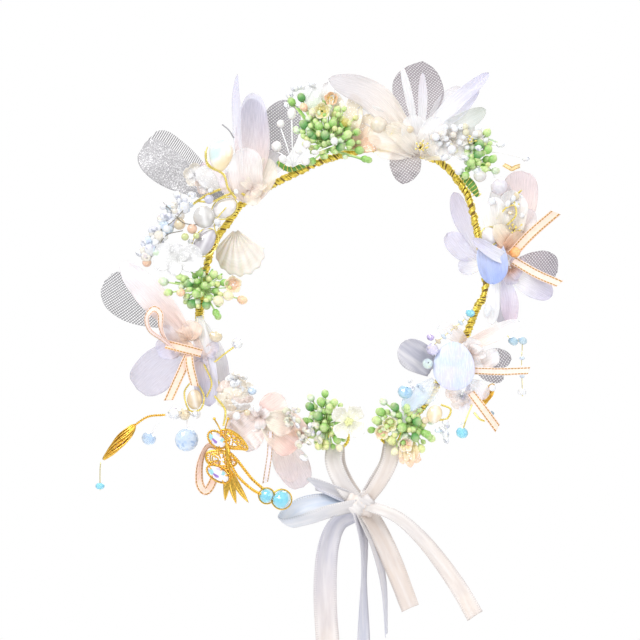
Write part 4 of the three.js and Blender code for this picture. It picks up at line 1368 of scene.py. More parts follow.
def flower_lower_left():
    """Frosted chips and folded rose petals, with crystals where the spray begins."""
    chips = Pile("frosted_chips", FROSTED, "frosted_cluster", smooth=False)
    count, reach = 34, 8.5
    for k in range(count):
        angle, share = k * GOLDEN_ANGLE, math.sqrt((k + 0.5) / count)
        x = -54.5 + reach * share * math.cos(angle)
        z = -50 + reach * share * math.sin(angle)
        centre = (x, -6 - 3.5 * (1 - share), z)
        tint = (colour(244, 232, 214), CREAM, colour(240, 224, 216), WHITE)[k % 4]
        size = 2.9 + 0.8 * math.sin(k * 2.3)
        axis = unit(np.array([math.cos(angle) * share, -1.0, math.sin(angle) * share]))
        lathe(chips, centre, [(0.1, -0.3), (size * 0.8, -0.34), (size, 0.1), (size * 0.7, 0.5),
            (0.3, 0.34)], axis, veil(tint, 0.92), sides=7, squash=0.75)

    rose = Pile("rose_petal_layers", ORGANZA, "rose_petals", slot="rose_fabric", thickness=0.16)
    pink, light_pink = colour(248, 214, 206), colour(252, 234, 228)
    petal(rose, [(-40, -6, -63), (-46, -8, -67), (-54.5, -7.5, -74)], 19, veil(light_pink, 0.88),
        colour(245, 237, 238, 0.8), belly=0.66, neck=0.5, cup=0.14, ruffle=0.13, waves=4.5, point=0.3,
        gather=1.3, rows=30, columns=21)
    petal(rose, [(-46, -5, -62), (-52, -6.5, -65), (-58, -6, -68)], 14, veil(CREAM, 0.9),
        veil(light_pink, 0.85), ruffle=0.14, phase=3)
    petal(rose, [(-42, -7, -62), (-36.5, -8, -57), (-30, -7.5, -52.5)], 13, veil(pink, 0.8),
        veil(light_pink, 0.72), belly=0.62, neck=0.45, cup=0.16, ruffle=0.1, phase=1)
    petal(rose, [(-39, -6.5, -63), (-31, -8.6, -68), (-22, -8, -76)], 21, veil(CREAM, 0.85),
        veil(pink, 0.78), belly=0.62, neck=0.45, cup=0.2, ruffle=0.09, point=0.36, phase=2, rows=32,
        columns=21)
    petal(rose, [(-39, -8.5, -62), (-33, -10.2, -64), (-25.5, -9.4, -66)], 13, veil(CREAM, 0.9),
        veil(BLUSH, 0.85), cup=0.18, ruffle=0.12, phase=5)
    ruffle(rose, (-42, -7.5, -62), 8, 5, veil(light_pink, 0.75), veil(WHITE, 0.65), facing=30, spread=340,
        lift=1.8)

    net = Pile("petal_net_lower_left", ORGANZA, "mesh_petal_lower_left", slot="mesh_fabric",
        thickness=0.14)
    petal(net, [(-36, 5, -71), (-28, 8, -85), (-21, 11, -99)], 17, colour(253, 238, 234, 0.66),
        colour(242, 229, 232, 0.72), ruffle=0.06, point=0.4)
    petal(net, [(-35, 3.4, -72), (-30.5, 5.6, -84), (-26.5, 7.5, -96)], 11, colour(253, 240, 236, 0.5),
        colour(244, 232, 234, 0.56), ruffle=0.09, phase=3)

    strips = Pile("trim_lower_left", TRIM)
    ribbon(strips, [(-37, -9.4, -69), (-37.4, -11, -80), (-39.4, -10.6, -94)], 3.0, [0, 20, -10],
        colour(240, 232, 236), cut=0.8)
    loop = [(-62, -9, -76.5), (-68, -10.4, -76), (-71.6, -11.2, -84), (-71.8, -11.4, -94),
        (-68.5, -11, -98.2), (-64.6, -10.4, -92), (-63, -9.6, -83)]
    ribbon(strips, loop, 4.2, [34, 48, 30, 6, -30, 30, 50], colour(252, 226, 218), colour(248, 212, 190))

    gems = Pile("crystals_lower_left", AURORA)
    dewdrops(gems, (-25.5, -11.8, -61.5), (10, 3, 9), 20, 1.7,
        [colour(240, 239, 208), CREAM, colour(246, 242, 214), CLEAR])
    dewdrops(gems, (-18, -10.4, -71), (11, 3, 12), 26, 1.8,
        [colour(240, 239, 208), CREAM, colour(246, 242, 214), CLEAR])
    dewdrops(gems, (-53.5, -9.6, -43.4), (11, 3, 5), 8, 1.9, [CLEAR, CLEAR, CREAM])
    gem(gems, (-20.5, -8, -82), 2.4, CLEAR, height=0.8)
    gem(gems, (-46, -9.5, -49), 2.3, colour(208, 227, 247))

    pearls = Pile("pearls_lower_left", PEARL)
    bead(pearls, (-43.5, -11.5, -57.5), 1.9, WHITE)
    bead(pearls, (-53.5, -11.5, -61.2), 2.1, WHITE)
    bead(pearls, (-48.3, -11, -59.6), 1.6, CHAMPAGNE)

    twisted_wire(Pile("wire_lower_left", FINE_GOLD),
        [(-64.5, -9.6, -51.5), (-60, -11.4, -56.5), (-59, -11.6, -60), (-60, -11, -66)], 0.32)


def filigree_wing(name, node, outline, holes, scrolls):
    """A pierced wing: a cast edge and spokes, rings round its holes, scrolls and a row of granules.

    A hole is (x, z, radius), and a scroll is (x, z, radius, start in degrees, turns).
    """
    pile = Pile(name, CHARM_GOLD, node, body="butterfly_charm")
    rim = through(outline, 60, closed=True)
    tube(pile, outline, 0.62, sides=7, steps=70, closed=True)
    middle = rim.mean(axis=0)
    inner = [middle + (p - middle) * 0.72 + np.array([0, -0.3, 0]) for p in np.array(outline)]
    tube(pile, inner, 0.38, steps=60, closed=True)
    for k in range(0, 60, 2):
        at = middle + (rim[k] - middle) * 0.86
        bead(pile, at + np.array([0, -0.3, 0]), 0.42, WHITE, (0, -1, 0), sides=7)
    for x, z, radius in holes:
        tube(pile, oval((x, middle[1] - 0.4, z), radius, radius, 10), 0.42, steps=26, closed=True)
    for x, z, radius, start, turns in scrolls:
        line = []
        for k in range(12):
            share = k / 11
            angle = math.radians(start) + 2 * math.pi * turns * share
            reach = radius * (1 - 0.75 * share)
            line.append((x + reach * math.cos(angle), middle[1] - 0.5, z + reach * math.sin(angle)))
        tube(pile, line, 0.36, steps=30)
    for share in np.linspace(0, 1, 7, endpoint=False):
        spoke = rim[int(share * 60)]
        tube(pile, [middle + (spoke - middle) * 0.2, middle + (spoke - middle) * 0.95], 0.34, sides=5,
            steps=3)


def butterfly_charm():
    """Two filigree wings, a leafed body, two set stones and two aqua beads on twisted wires."""
    filigree_wing("filigree_wing_upper", "butterfly_wing_upper",
        [(-61, -13.4, -68.5), (-57, -13.8, -68), (-51.5, -14, -71.5), (-48, -14, -77),
            (-51.5, -14, -77.2), (-57.5, -13.8, -76.5), (-60.5, -13.6, -73)],
        holes=[(-57.2, -71, 1.2), (-54.2, -72.8, 1.0), (-52.0, -74.8, 0.8)],
        scrolls=[(-57.5, -74, 1.5, 40, 1.2)])
    filigree_wing("filigree_wing_lower", "butterfly_wing_lower",
        [(-67.5, -13.4, -79), (-62, -13.8, -78), (-56, -14, -79.5), (-53.5, -14, -84),
            (-57.5, -14, -86.4), (-64, -13.8, -86), (-68, -13.6, -83)],
        holes=[(-58, -83.5, 1.2)],
        scrolls=[(-63.5, -82, 2.4, 0, 1.4), (-58.5, -80.6, 1.6, 90, 1.2), (-65.8, -84.2, 1.4, 200, 1)])

    spikes = Pile("butterfly_body", CHARM_GOLD, body="butterfly_charm", thickness=0.3)
    for x, z in ((-59, -102.5), (-53.5, -104), (-47.5, -103.5)):
        petal(spikes, [(-57.5, -14, -86), ((x - 57.5) / 2, -15, (z - 88) / 2), (x, -14.6, z)], 3.2, WHITE,
            WHITE, belly=0.45, neck=0.3, cup=0, ruffle=0, fold=0.25, point=0.9, gather=0, rows=14,
            columns=5)
    tube(spikes, [(-59.5, -14.6, -72), (-57.6, -15.6, -78), (-57.5, -15.2, -87.5)],
        lambda u: 1.3 - 0.7 * abs(2 * u - 1), sides=9)
    for side in (-1, 1):
        tube(spikes, [(-59.4, -14.6, -72.5), (-60.2 + side * 1.6, -15.4, -66.5),
            (-60.8 + side * 3.4, -15.2, -62.5)], 0.26, sides=5)
        bead(spikes, (-60.8 + side * 3.4, -15.2, -62.3), 0.62, WHITE, sides=8)

    for name, node, centre, wide, tall, tilt in (
        ("upper_navette_stone", "navette_upper", (-62.8, -16, -72.5), 3.0, 4.8, -48),
        ("lower_navette_stone", "navette_lower", (-62.2, -16.4, -89.2), 3.0, 5.8, -58),
    ):
        cabochon(Pile(name, NAVETTE, node, body="butterfly_charm"), centre, (wide, 2.2, tall), WHITE,
            tilt=tilt, rows=8, sides=12)
        bezel = Pile(name.replace("stone", "setting"), CHARM_GOLD, body="butterfly_charm")
        x, y, z = centre
        loop = oval((x, y + 0.8, z), wide + 0.4, tall + 0.4, 14, tilt)
        twisted_wire(bezel, loop, 0.34, pitch=1.6, closed=True)
        for k in range(0, 14, 3):
            tip = loop[k] + (np.array(centre) - loop[k]) * 0.3 + np.array([0, -2.0, 0])
            tube(bezel, [loop[k], (loop[k] + tip) / 2 + np.array([0, -0.4, 0]), tip], 0.36, steps=6)

    wires = Pile("butterfly_bead_wires", CHARM_GOLD, body="butterfly_charm")
    twisted_wire(wires, [(-57.4, -16.4, -79), (-53.5, -18, -81.5), (-46, -18, -91), (-40, -17.4, -96.5)],
        0.42)
    twisted_wire(wires, [(-57.2, -16.4, -82), (-52.5, -18.6, -90), (-44, -18.4, -97.5),
        (-35.5, -17.4, -100.5)], 0.42)
    for x, y, z, radius in ((-38.5, -17, -99.8, 3.9), (-31.2, -17, -101.5, 4.9)):
        tube(wires, oval((x, y, z), radius, radius, 12), 0.36, steps=36, closed=True)
    beads = Pile("butterfly_aqua_beads", MOONSTONE, "bead_wires", body="butterfly_charm", slot="crystal",
        smooth=False)
    light_aqua = colour(136, 212, 232)
    gem(beads, (-38.5, -17, -99.8), 3.6, light_aqua, (0.8, -0.3, -0.5), height=1.2, sides=12)
    gem(beads, (-31.2, -17, -101.5), 4.6, light_aqua, (0.8, -0.2, -0.6), height=1.2, sides=12)


# ---------------------------------------------------------------- flower at the top


def flower_top():
    """A tall net petal behind a cream one and narrow film strips, pearls and crystals."""
    petal(Pile("petal_tall_net", NETTING, "tall_mesh_petal"), [(33, 5, 80), (36.5, 9, 98), (40, 14, 118)],
        26, colour(216, 208, 210, 0.7), colour(178, 168, 174, 0.8), neck=0.3, ruffle=0.035, point=0.82,
        rows=34, columns=21)

    cream = Pile("petal_cream", ORGANZA, "cream_petal", thickness=0.14)
    petal(cream, [(32, -3, 77), (13, -6.5, 97), (-8.5, -10.5, 104.5)], 14.5, colour(250, 241, 231, 0.88),
        colour(214, 209, 213, 0.64), belly=0.5, neck=0.5, cup=0.12, ruffle=0.08, waves=3, gather=1.2,
        rows=32)
    petal(cream, [(30, -1, 74), (18, -4, 84), (6, -6, 91)], 11, colour(253, 246, 237, 0.75),
        veil(WHITE, 0.6), ruffle=0.1, phase=3)

    film = Pile("film_petals_top", ORGANZA, "organza_petals_top")
    for line, width, tip in (
        ([(34.5, -7, 83), (31, -10, 97), (27.5, -14, 111)], 4, WHITE),
        ([(37.8, -7, 80), (38, -11, 94), (37.6, -15.5, 107)], 4.6, colour(236, 232, 240)),
        ([(41, -6.5, 81), (55.5, -9, 94.5), (70.5, -12, 107.5)], 8, LILAC),
        ([(43, -5.5, 82), (55, -7, 88.5), (66, -9, 100)], 6.5, LILAC),
        ([(44, -5.5, 77), (57, -7, 83), (69.5, -8, 90)], 10, colour(200, 206, 198)),
    ):
        petal(film, line, width, veil(WHITE, 0.6), veil(tip, 0.74), belly=0.45, neck=0.5, ruffle=0.05,
            fold=0.1, phase=width)
    warm = colour(255, 247, 240)
    for line, width, base, tip, phase in (
        ([(37, -3.6, 67), (34.5, -8, 77), (32, -9, 87)], 13, warm, WHITE, 1),
        ([(37.5, -3.6, 67), (42, -8.4, 76), (46, -9, 86)], 13, warm, WHITE, 3),
        ([(35, -4.4, 69), (24.5, -9, 74.5), (11, -8, 78)], 12.5, warm, CREAM, 5),
        ([(34, -4.4, 69), (25, -7.6, 69.5), (14.5, -7, 70)], 9, warm, colour(254, 238, 226), 7),
        ([(36, -5, 69), (29, -10, 76), (20.5, -10, 82)], 10, warm, CREAM, 9),
        ([(39, -5, 68), (47, -8, 70), (54, -7.4, 72)], 10, CREAM, WHITE, 11),
    ):
        petal(film, line, width, veil(base, 0.62), veil(tip, 0.56), neck=0.5, cup=0.14, ruffle=0.09,
            gather=0.9, phase=phase)
    petal(film, [(42, 3.5, 76), (52, 8, 92), (60, 12, 104)], 15, veil(WHITE, 0.4), veil(PALE_GREY, 0.5),
        ruffle=0.06, phase=9)

    ivory = Pile("ivory_ruffle_top", ORGANZA, thickness=0.14)
    ruffle(ivory, (52, -5.5, 74.5), 12, 6, colour(250, 242, 232, 0.7), veil(WHITE, 0.6), facing=0,
        spread=340, lift=2.4, phase=4)
    ruffle(ivory, (63, -5.5, 76), 9, 5, colour(250, 244, 234, 0.7), veil(WHITE, 0.6), facing=20,
        spread=300, phase=2)

    petal(Pile("petal_hanging_net", NETTING, "hanging_mesh_petal"),
        [(30.5, -3.4, 73.5), (29.8, -6, 63.5), (28.6, -5, 53.5)], 15.5, colour(228, 218, 206, 0.85),
        colour(196, 188, 192, 0.85), belly=0.5, neck=0.6, ruffle=0.14, waves=4.5, point=0.66, gather=1.4,
        rows=30, columns=19)

    threads_pile = Pile("stamens_top", FINE_GOLD)
    stamens(threads_pile, (37, -7, 71), 14, 6.5, spread=0.6, direction=(0.1, -1, 0.1))
    stamens(threads_pile, (60.5, -8, 74), 8, 5, spread=0.6, direction=(0.4, -1, 0.3))
    tube(threads_pile, [(19, -6.5, 80.5), (22, -9.5, 77), (24.5, -9.5, 80.5), (27, -6, 76)], 0.34)

    pearls = Pile("pearls_top", PEARL)
    for x, y, z, radius, tint in (
        (16.5, -8, 82.5, 4.2, colour(243, 231, 210)), (52.5, -10.5, 70, 2.3, WHITE),
        (56.5, -6, 60, 2.3, WHITE), (65.5, -9, 78, 2.2, CREAM), (32, -10, 80, 1.8, CHAMPAGNE),
        (44.5, -11, 76, 2.0, WHITE),
    ):
        bead(pearls, (x, y, z), radius, tint, (0.4, -0.3, 0.8))
    small_pearls = 18
    for k in range(small_pearls):
        reach, angle = math.sqrt((k + 0.5) / small_pearls), k * GOLDEN_ANGLE
        place = (56 + 13 * reach * math.cos(angle), -9 - 1.5 * (1 - reach),
            76 + 7 * reach * math.sin(angle))
        bead(pearls, place, 1.1 + 0.8 * golden(k), (WHITE, CREAM, WHITE, BUD_CREAM)[k % 4],
            (0.4, -0.3, 0.8), sides=14)

    gems = Pile("crystals_top", AURORA)
    dewdrops(gems, (57, -10, 76.5), (25, 3, 13), 10, 1.7, [CLEAR, WHITE, CLEAR])
    for x, y, z, radius in (
        (65.5, -8, 60, 2.4), (75.5, -5, 54, 2.6), (77, -6, 73, 2.2), (89.7, -5, 66.2, 2.1),
        (49, -10, 66, 2.4), (59, -9.5, 66, 2.2), (69, -8, 75, 1.8),
    ):
        gem(gems, (x, y, z), radius, CLEAR, any_way(), height=0.9)
    wire = Pile("white_wires_top", ENAMEL)
    tube(wire, [(66, -4, 70), (78, -5, 69), (89.7, -5, 66.2)], 0.3)
    tube(wire, [(66, -4, 66), (72, -5, 61), (75.5, -5, 54)], 0.3)
    tube(wire, [(64, -4, 70), (71, -5.5, 72.5), (77, -6, 73)], 0.3)


# ---------------------------------------------------------------- flower at the right


def flower_right():
    """Pink, blue, lilac and mauve petals, with gold-edged trims, a moonstone and pearls."""
    pink = Pile("petal_pink", ORGANZA, "pink_petal", thickness=0.13)
    petal(pink, [(80.5, 4.5, 24), (87, 8, 42), (90.5, 13, 62)], 19, colour(246, 226, 214, 0.85),
        colour(234, 220, 224, 0.8), belly=0.7, neck=0.45, cup=0.1, ruffle=0.05, rows=32, columns=19)
    petal(pink, [(80, 3, 26), (78.5, 5, 42), (80.5, 9, 56)], 13, veil(CREAM, 0.75), veil(PALE_GREY, 0.55),
        ruffle=0.07, phase=3)

    blue = Pile("petal_blue", ORGANZA, "blue_petal", thickness=0.14)
    petal(blue, [(71.8, -5, 24.5), (72.2, -9.5, 15), (73.4, -9, 3.6)], 15, colour(220, 226, 250, 0.9),
        colour(172, 192, 244, 0.85), belly=0.52, neck=0.7, cup=0.2, columns=19)
    petal(blue, [(82, -7.5, 14.5), (73, -11, 19), (62.8, -9.6, 26)], 6.5, veil(WHITE, 0.85),
        veil(LILAC, 0.85), belly=0.5, neck=0.6, ruffle=0.06, fold=0.15, phase=2)

    petal(Pile("petal_mauve_net", NETTING, "mauve_mesh_petal"),
        [(87, 3.4, 15.5), (97, 7, 13.5), (108, 11.5, 10)], 16.5, colour(222, 208, 214, 0.8),
        colour(186, 176, 188, 0.85), belly=0.62, ruffle=0.05, point=0.45)

    lilac = Pile("film_petals_right", ORGANZA, "lilac_petals_right")
    petal(lilac, [(81, -3.4, 10.5), (91.5, -4.5, 4.5), (103, -4, -2)], 12.5, veil(WHITE, 0.6),
        colour(208, 204, 224, 0.8), neck=0.4, ruffle=0.07)
    petal(lilac, [(79, -4, 8), (81, -6, -3), (82.5, -5, -16)], 9, veil(LILAC, 0.6),
        colour(220, 204, 218, 0.75), ruffle=0.07, phase=3)
    petal(lilac, [(75, -4.4, 9), (73.2, -6, -4), (72.8, -5, -16.5)], 7, veil(WHITE, 0.6),
        veil(WHITE, 0.75), ruffle=0.05, phase=6)
    petal(lilac, [(77.5, -2.6, 6), (78, -2.6, -5), (78.2, -2, -16)], 9, veil(PALE_GREY, 0.5),
        colour(186, 182, 196, 0.7), phase=2)
    ruffle(lilac, (82, -5, 12), 9, 6, veil(PEACH, 0.75), veil(LILAC, 0.7), facing=-60, spread=280)

    inner = Pile("film_petals_inner", ORGANZA, "inner_lilac_petals")
    petal(inner, [(67, 5.2, 20), (60, 8, 36), (55.5, 11, 51)], 9.5, veil(LILAC, 0.6),
        colour(214, 208, 230, 0.75), ruffle=0.05)
    petal(inner, [(67, 5.2, 17), (59.5, 7.5, 21), (52, 10, 30)], 11, veil(LILAC, 0.6),
        colour(222, 218, 236, 0.7), ruffle=0.08, phase=3)
    petal(inner, [(69, 4, 14), (63, 6, 13), (57.5, 7, 15)], 9, veil(WHITE, 0.6), veil(LILAC, 0.65),
        ruffle=0.08, phase=5)

    body = Pile("ivory_ruffle_right", ORGANZA, thickness=0.14)
    ivory = colour(250, 242, 228)
    for line, width, base, tip, phase in (
        ([(79, -3.4, 24), (74.5, -7.6, 35), (72, -8, 47)], 13, ivory, WHITE, 1),
        ([(80, -3.4, 24), (82, -8.4, 37), (82.5, -9, 50)], 15, ivory, WHITE, 3),
        ([(81.5, -4, 25), (88, -7, 33), (92, -6.6, 41)], 11, ivory, colour(240, 232, 236), 5),
        ([(82, -5, 22), (77.5, -9.6, 27), (74, -9.6, 33)], 8, PEACH, ivory, 7),
        ([(80, -5, 19.5), (84, -9, 24.5), (88.5, -8.6, 29.5)], 9, PEACH, colour(250, 226, 208), 9),
    ):
        petal(body, line, width, veil(base, 0.8), veil(tip, 0.66), neck=0.5, cup=0.16, ruffle=0.09,
            gather=0.9, phase=phase)
    ruffle(body, (80.5, -6.4, 21), 7.5, 5, colour(248, 210, 184, 0.85), veil(PEACH, 0.75), facing=-90,
        spread=300, lift=1.8, phase=2)

    arms = Pile("trim_right", TRIM, "peach_trim_right")
    ribbon(arms, [(82, -9, 18), (91.5, -11.4, 28.5), (103.5, -10.6, 39)], 5.0, [24, 0, -14],
        colour(252, 220, 202), cut=1.4)
    ribbon(arms, [(83, -9, 15.5), (93.5, -11, 9), (105.5, -10.4, 3.7)], 4.5, [-24, 0, 16],
        colour(252, 228, 214), cut=-1.2)
    ribbon(arms, [(78, -10, 62.5), (80.5, -11.4, 61), (82, -10.8, 60.4), (83.8, -11.4, 61.2),
        (86, -10, 62)], 2.2, [30, 0, 0, 0, -30], colour(240, 214, 160))

    berry(Pile("orange_bud", GREENS), (83.5, -11, 19.3), 2.6, colour(240, 160, 84), (0.3, -1, 0.2),
        colour(250, 200, 140))

    cabochon(Pile("opal_right", MOONSTONE), (71.3, -8.4, 27.5), (4.0, 3, 4.2), colour(230, 226, 228))
    pearls = Pile("pearls_right", PEARL)
    for x, y, z, radius, tint in (
        (76, -8.6, 52, 4.2, colour(240, 234, 240)), (66.7, -7, 57.5, 3.2, colour(240, 236, 230)),
        (72.5, -8.6, 44.5, 1.8, WHITE),
    ):
        bead(pearls, (x, y, z), radius, tint, (0.2, -0.3, 1))
    bead(pearls, (70.5, -7, -9.5), 1.9, WHITE, (0.2, -0.3, 1), squash=1.9)

    gems = Pile("crystals_right", AURORA)
    dewdrops(gems, (84.5, -10.5, 42), (9, 3, 12), 8, 1.9, [CLEAR, CHAMPAGNE, CLEAR])
    for k in range(6):
        share = k / 5
        gem(gems, (60 - 14 * share, -6 - math.sin(share * 3), -13 - 11.5 * share), 1.7,
            (CLEAR, PALE_BLUE, CHAMPAGNE)[k % 3], (-0.7, 0, -0.6), height=0.8)
    gem(Pile("aqua_bead_right", TINTED), (62, -6, -10.5), 2.4, AQUA, (0.3, -0.3, 1))

    wire = Pile("wires_right", FINE_GOLD)
    tube(wire, oval((71.3, -8, 27.5), 4.5, 4.7, 12), 0.32, steps=36, closed=True)
    twisted_wire(wire, [(80, -8, 33), (84, -11, 38), (83, -11.4, 46), (87, -9, 50)], 0.28)
    twisted_wire(wire, [(75, -8, 36), (79.5, -11, 41.5), (85.5, -11.4, 43)], 0.26)
    tube(wire, [(66, -4, -6), (62, -6, -10.5), (60, -6, -13), (46, -6, -24.5), (43, -4, -28)], 0.2,
        sides=5)
    stamens(wire, (83, -8, 30), 9, 5.5, spread=0.7)


# ---------------------------------------------------------------- flower at the lower right


def shell_disc():
    """An egg-shaped slice of shell, softly dished, with a rounded edge."""
    pile = Pile("shell_slice", SHELL, "shell_disc")
    sides, rows = 48, 12
    points, places = [], []
    for face in (-1, 1):
        for i in range(rows + 1):
            share = math.sin(math.pi / 2 * i / rows)
            for k in range(sides):
                angle = 2 * math.pi * k / sides
                x = 10.2 * (1 - 0.1 * math.sin(angle)) * math.cos(angle) * share
                z = 12.0 * math.sin(angle) * share
                depth = 0.95 * math.sqrt(max(0.0, 1 - share**6)) + 0.05
                points.append((x, face * depth - 0.9 * (1 - share**2) + 0.12 * z - 0.1 * x, z))
                places.append((x, 0, z))
    points = np.array(points) + np.array([53.5, -9.6, -36.7])
    faces = grid_faces(rows + 1, sides, wrap=True)
    back = (rows + 1) * sides
    faces += [tuple(back + i for i in face[::-1]) for face in grid_faces(rows + 1, sides, wrap=True)]
    outer = rows * sides
    for k in range(sides):
        front_edge = (outer + k, outer + (k + 1) % sides)
        faces.append((*front_edge, back + front_edge[1], back + front_edge[0]))
    pile.add(points, faces, WHITE, np.array(places))


def flower_lower_right():
    """Film petals round the shell disc, a solid grey petal, trims and blue beads."""
    shell_disc()
    petal(Pile("petal_grey", SATIN, "grey_petal", slot="organza", thickness=0.3),
        [(43.5, -3.6, -38), (35, -6, -32), (27.5, -6, -26)], 15.5, colour(170, 170, 184, 1.0),
        colour(176, 176, 188, 1.0), belly=0.58, neck=0.6, cup=0.1, ruffle=0.03, point=0.45)

    film = Pile("film_petals_lower_right", ORGANZA, "organza_petals_lower_right")
    petal(film, [(61, -4, -26.5), (73, -6.5, -21), (86.5, -6, -14.5)], 8, colour(246, 226, 216, 0.85),
        veil(WHITE, 0.85), belly=0.5, neck=0.6, cup=0.1, ruffle=0.06, fold=0.2)
    petal(film, [(62.5, -4.4, -36), (69, -6, -34), (76, -5.4, -30)], 10, veil(BLUSH, 0.8),
        veil(WHITE, 0.75), ruffle=0.1, phase=2)
    petal(film, [(61.5, -4.4, -46), (59.6, -5.5, -55), (57.3, -5.5, -66)], 5, veil(LILAC, 0.7),
        veil(WHITE, 0.8), phase=5)
    petal(film, [(62, -5, -44), (66.5, -6.6, -48), (69, -6.4, -53.5)], 8, veil(WHITE, 0.66),
        colour(238, 232, 238, 0.62), ruffle=0.1, phase=7)
    petal(film, [(44, -5.4, -43.5), (37, -8, -50.5), (28.5, -8, -58)], 10, colour(236, 242, 250, 0.5),
        colour(206, 226, 248, 0.66), ruffle=0.09, phase=3)
    petal(film, [(46, -5, -46), (42, -7.4, -50), (36, -7.6, -54.5)], 8, veil(WHITE, 0.5),
        veil(PALE_BLUE, 0.6), ruffle=0.1, phase=1)
    petal(film, [(37, -4.5, -59), (30, -6.4, -62), (22, -6, -63.5)], 6, veil(WHITE, 0.8),
        veil(WHITE, 0.8), ruffle=0.06, phase=6)
    petal(film, [(62, -2, -27), (53, -3, -20), (46, -2.4, -18)], 8, veil(BLUSH, 0.7), veil(WHITE, 0.7),
        ruffle=0.08, phase=4)
    ruffle(film, (62, -5, -31), 9, 8, colour(248, 226, 214, 0.85), veil(WHITE, 0.75), facing=0,
        spread=300, lift=2.2, phase=1)
    ruffle(film, (58, -4, -51), 8, 6, veil(WHITE, 0.66), veil(BLUSH, 0.56), facing=-90, spread=220,
        phase=5)

    net = Pile("petal_net_lower_right", NETTING, "mesh_petal_lower_right")
    petal(net, [(64, 4.4, -35), (72, 6, -40), (80, 6, -44)], 9, colour(214, 208, 212, 0.7),
        colour(188, 182, 190, 0.8), ruffle=0.07)
    petal(net, [(66, 1.5, -34), (74, 2.5, -33), (83.5, 3, -34)], 10, colour(214, 208, 212, 0.7),
        colour(184, 178, 186, 0.8), ruffle=0.09, phase=2)

    arms = Pile("trim_lower_right", TRIM, "peach_trim_lower_right")
    ribbon(arms, [(62.5, -8, -39), (77, -10.6, -39.4), (90.5, -9.8, -39)], 3.8, [-24, 0, 14],
        colour(252, 230, 218), cut=-0.8)
    ribbon(arms, [(62, -8, -50), (68, -10.8, -58), (75, -10, -67.4)], 4.2, [20, 0, -14],
        colour(252, 222, 206), cut=1)

    gems = Pile("crystals_lower_right", AURORA)
    gem(gems, (43, -9, -28.5), 3.2, colour(230, 222, 246), (0.4, -0.3, 1), height=1.2)
    bead(gems, (40.5, -10, -35.5), 2.6, colour(222, 240, 236), (0.1, -1, 0.2))
    gem(gems, (42.2, -7, -22.5), 2.0, colour(206, 186, 236))
    dewdrops(gems, (47, -7, -70), (7, 3, 10), 6, 2.2, [CLEAR, PALE_BLUE, CLEAR])
    dewdrops(gems, (35, -8.5, -45), (6, 2, 7), 4, 1.6, [CLEAR, PALE_BLUE])
    tinted = Pile("blue_beads_lower_right", TINTED)
    gem(tinted, (29.5, -9.6, -49.5), 3.8, colour(186, 222, 242), height=1.12, sides=10)
    gem(tinted, (57.8, -7, -69.8), 3.1, AQUA, (0.5, -0.3, 1), height=1.15, sides=10)

    cabochon(Pile("champagne_stone", MOONSTONE), (44, -9, -60.5), (3.8, 2.6, 4.6), CHAMPAGNE, tilt=20)
    pearls = Pile("pearls_lower_right", PEARL)
    for x, y, z, radius, tint in (
        (39.5, -9.5, -63.5, 1.8, CHAMPAGNE), (72.5, -9.4, -47.5, 1.7, WHITE),
        (49.5, -8, -64.5, 1.6, WHITE),
    ):
        bead(pearls, (x, y, z), radius, tint)

    wire = Pile("wires_lower_right", FINE_GOLD)
    tube(wire, [(63, -5, -56), (60, -6.5, -63), (57.8, -7, -69.8)], 0.34)
    twisted_wire(wire, [(47.5, -6, -56), (52, -8.5, -58), (50.5, -8.6, -62.5), (46.5, -8, -63.5)], 0.3)
    tube(wire, [(64, -5, -60), (66.5, -7, -63), (69, -7, -64)], 0.5)


# ---------------------------------------------------------------- the green sprays


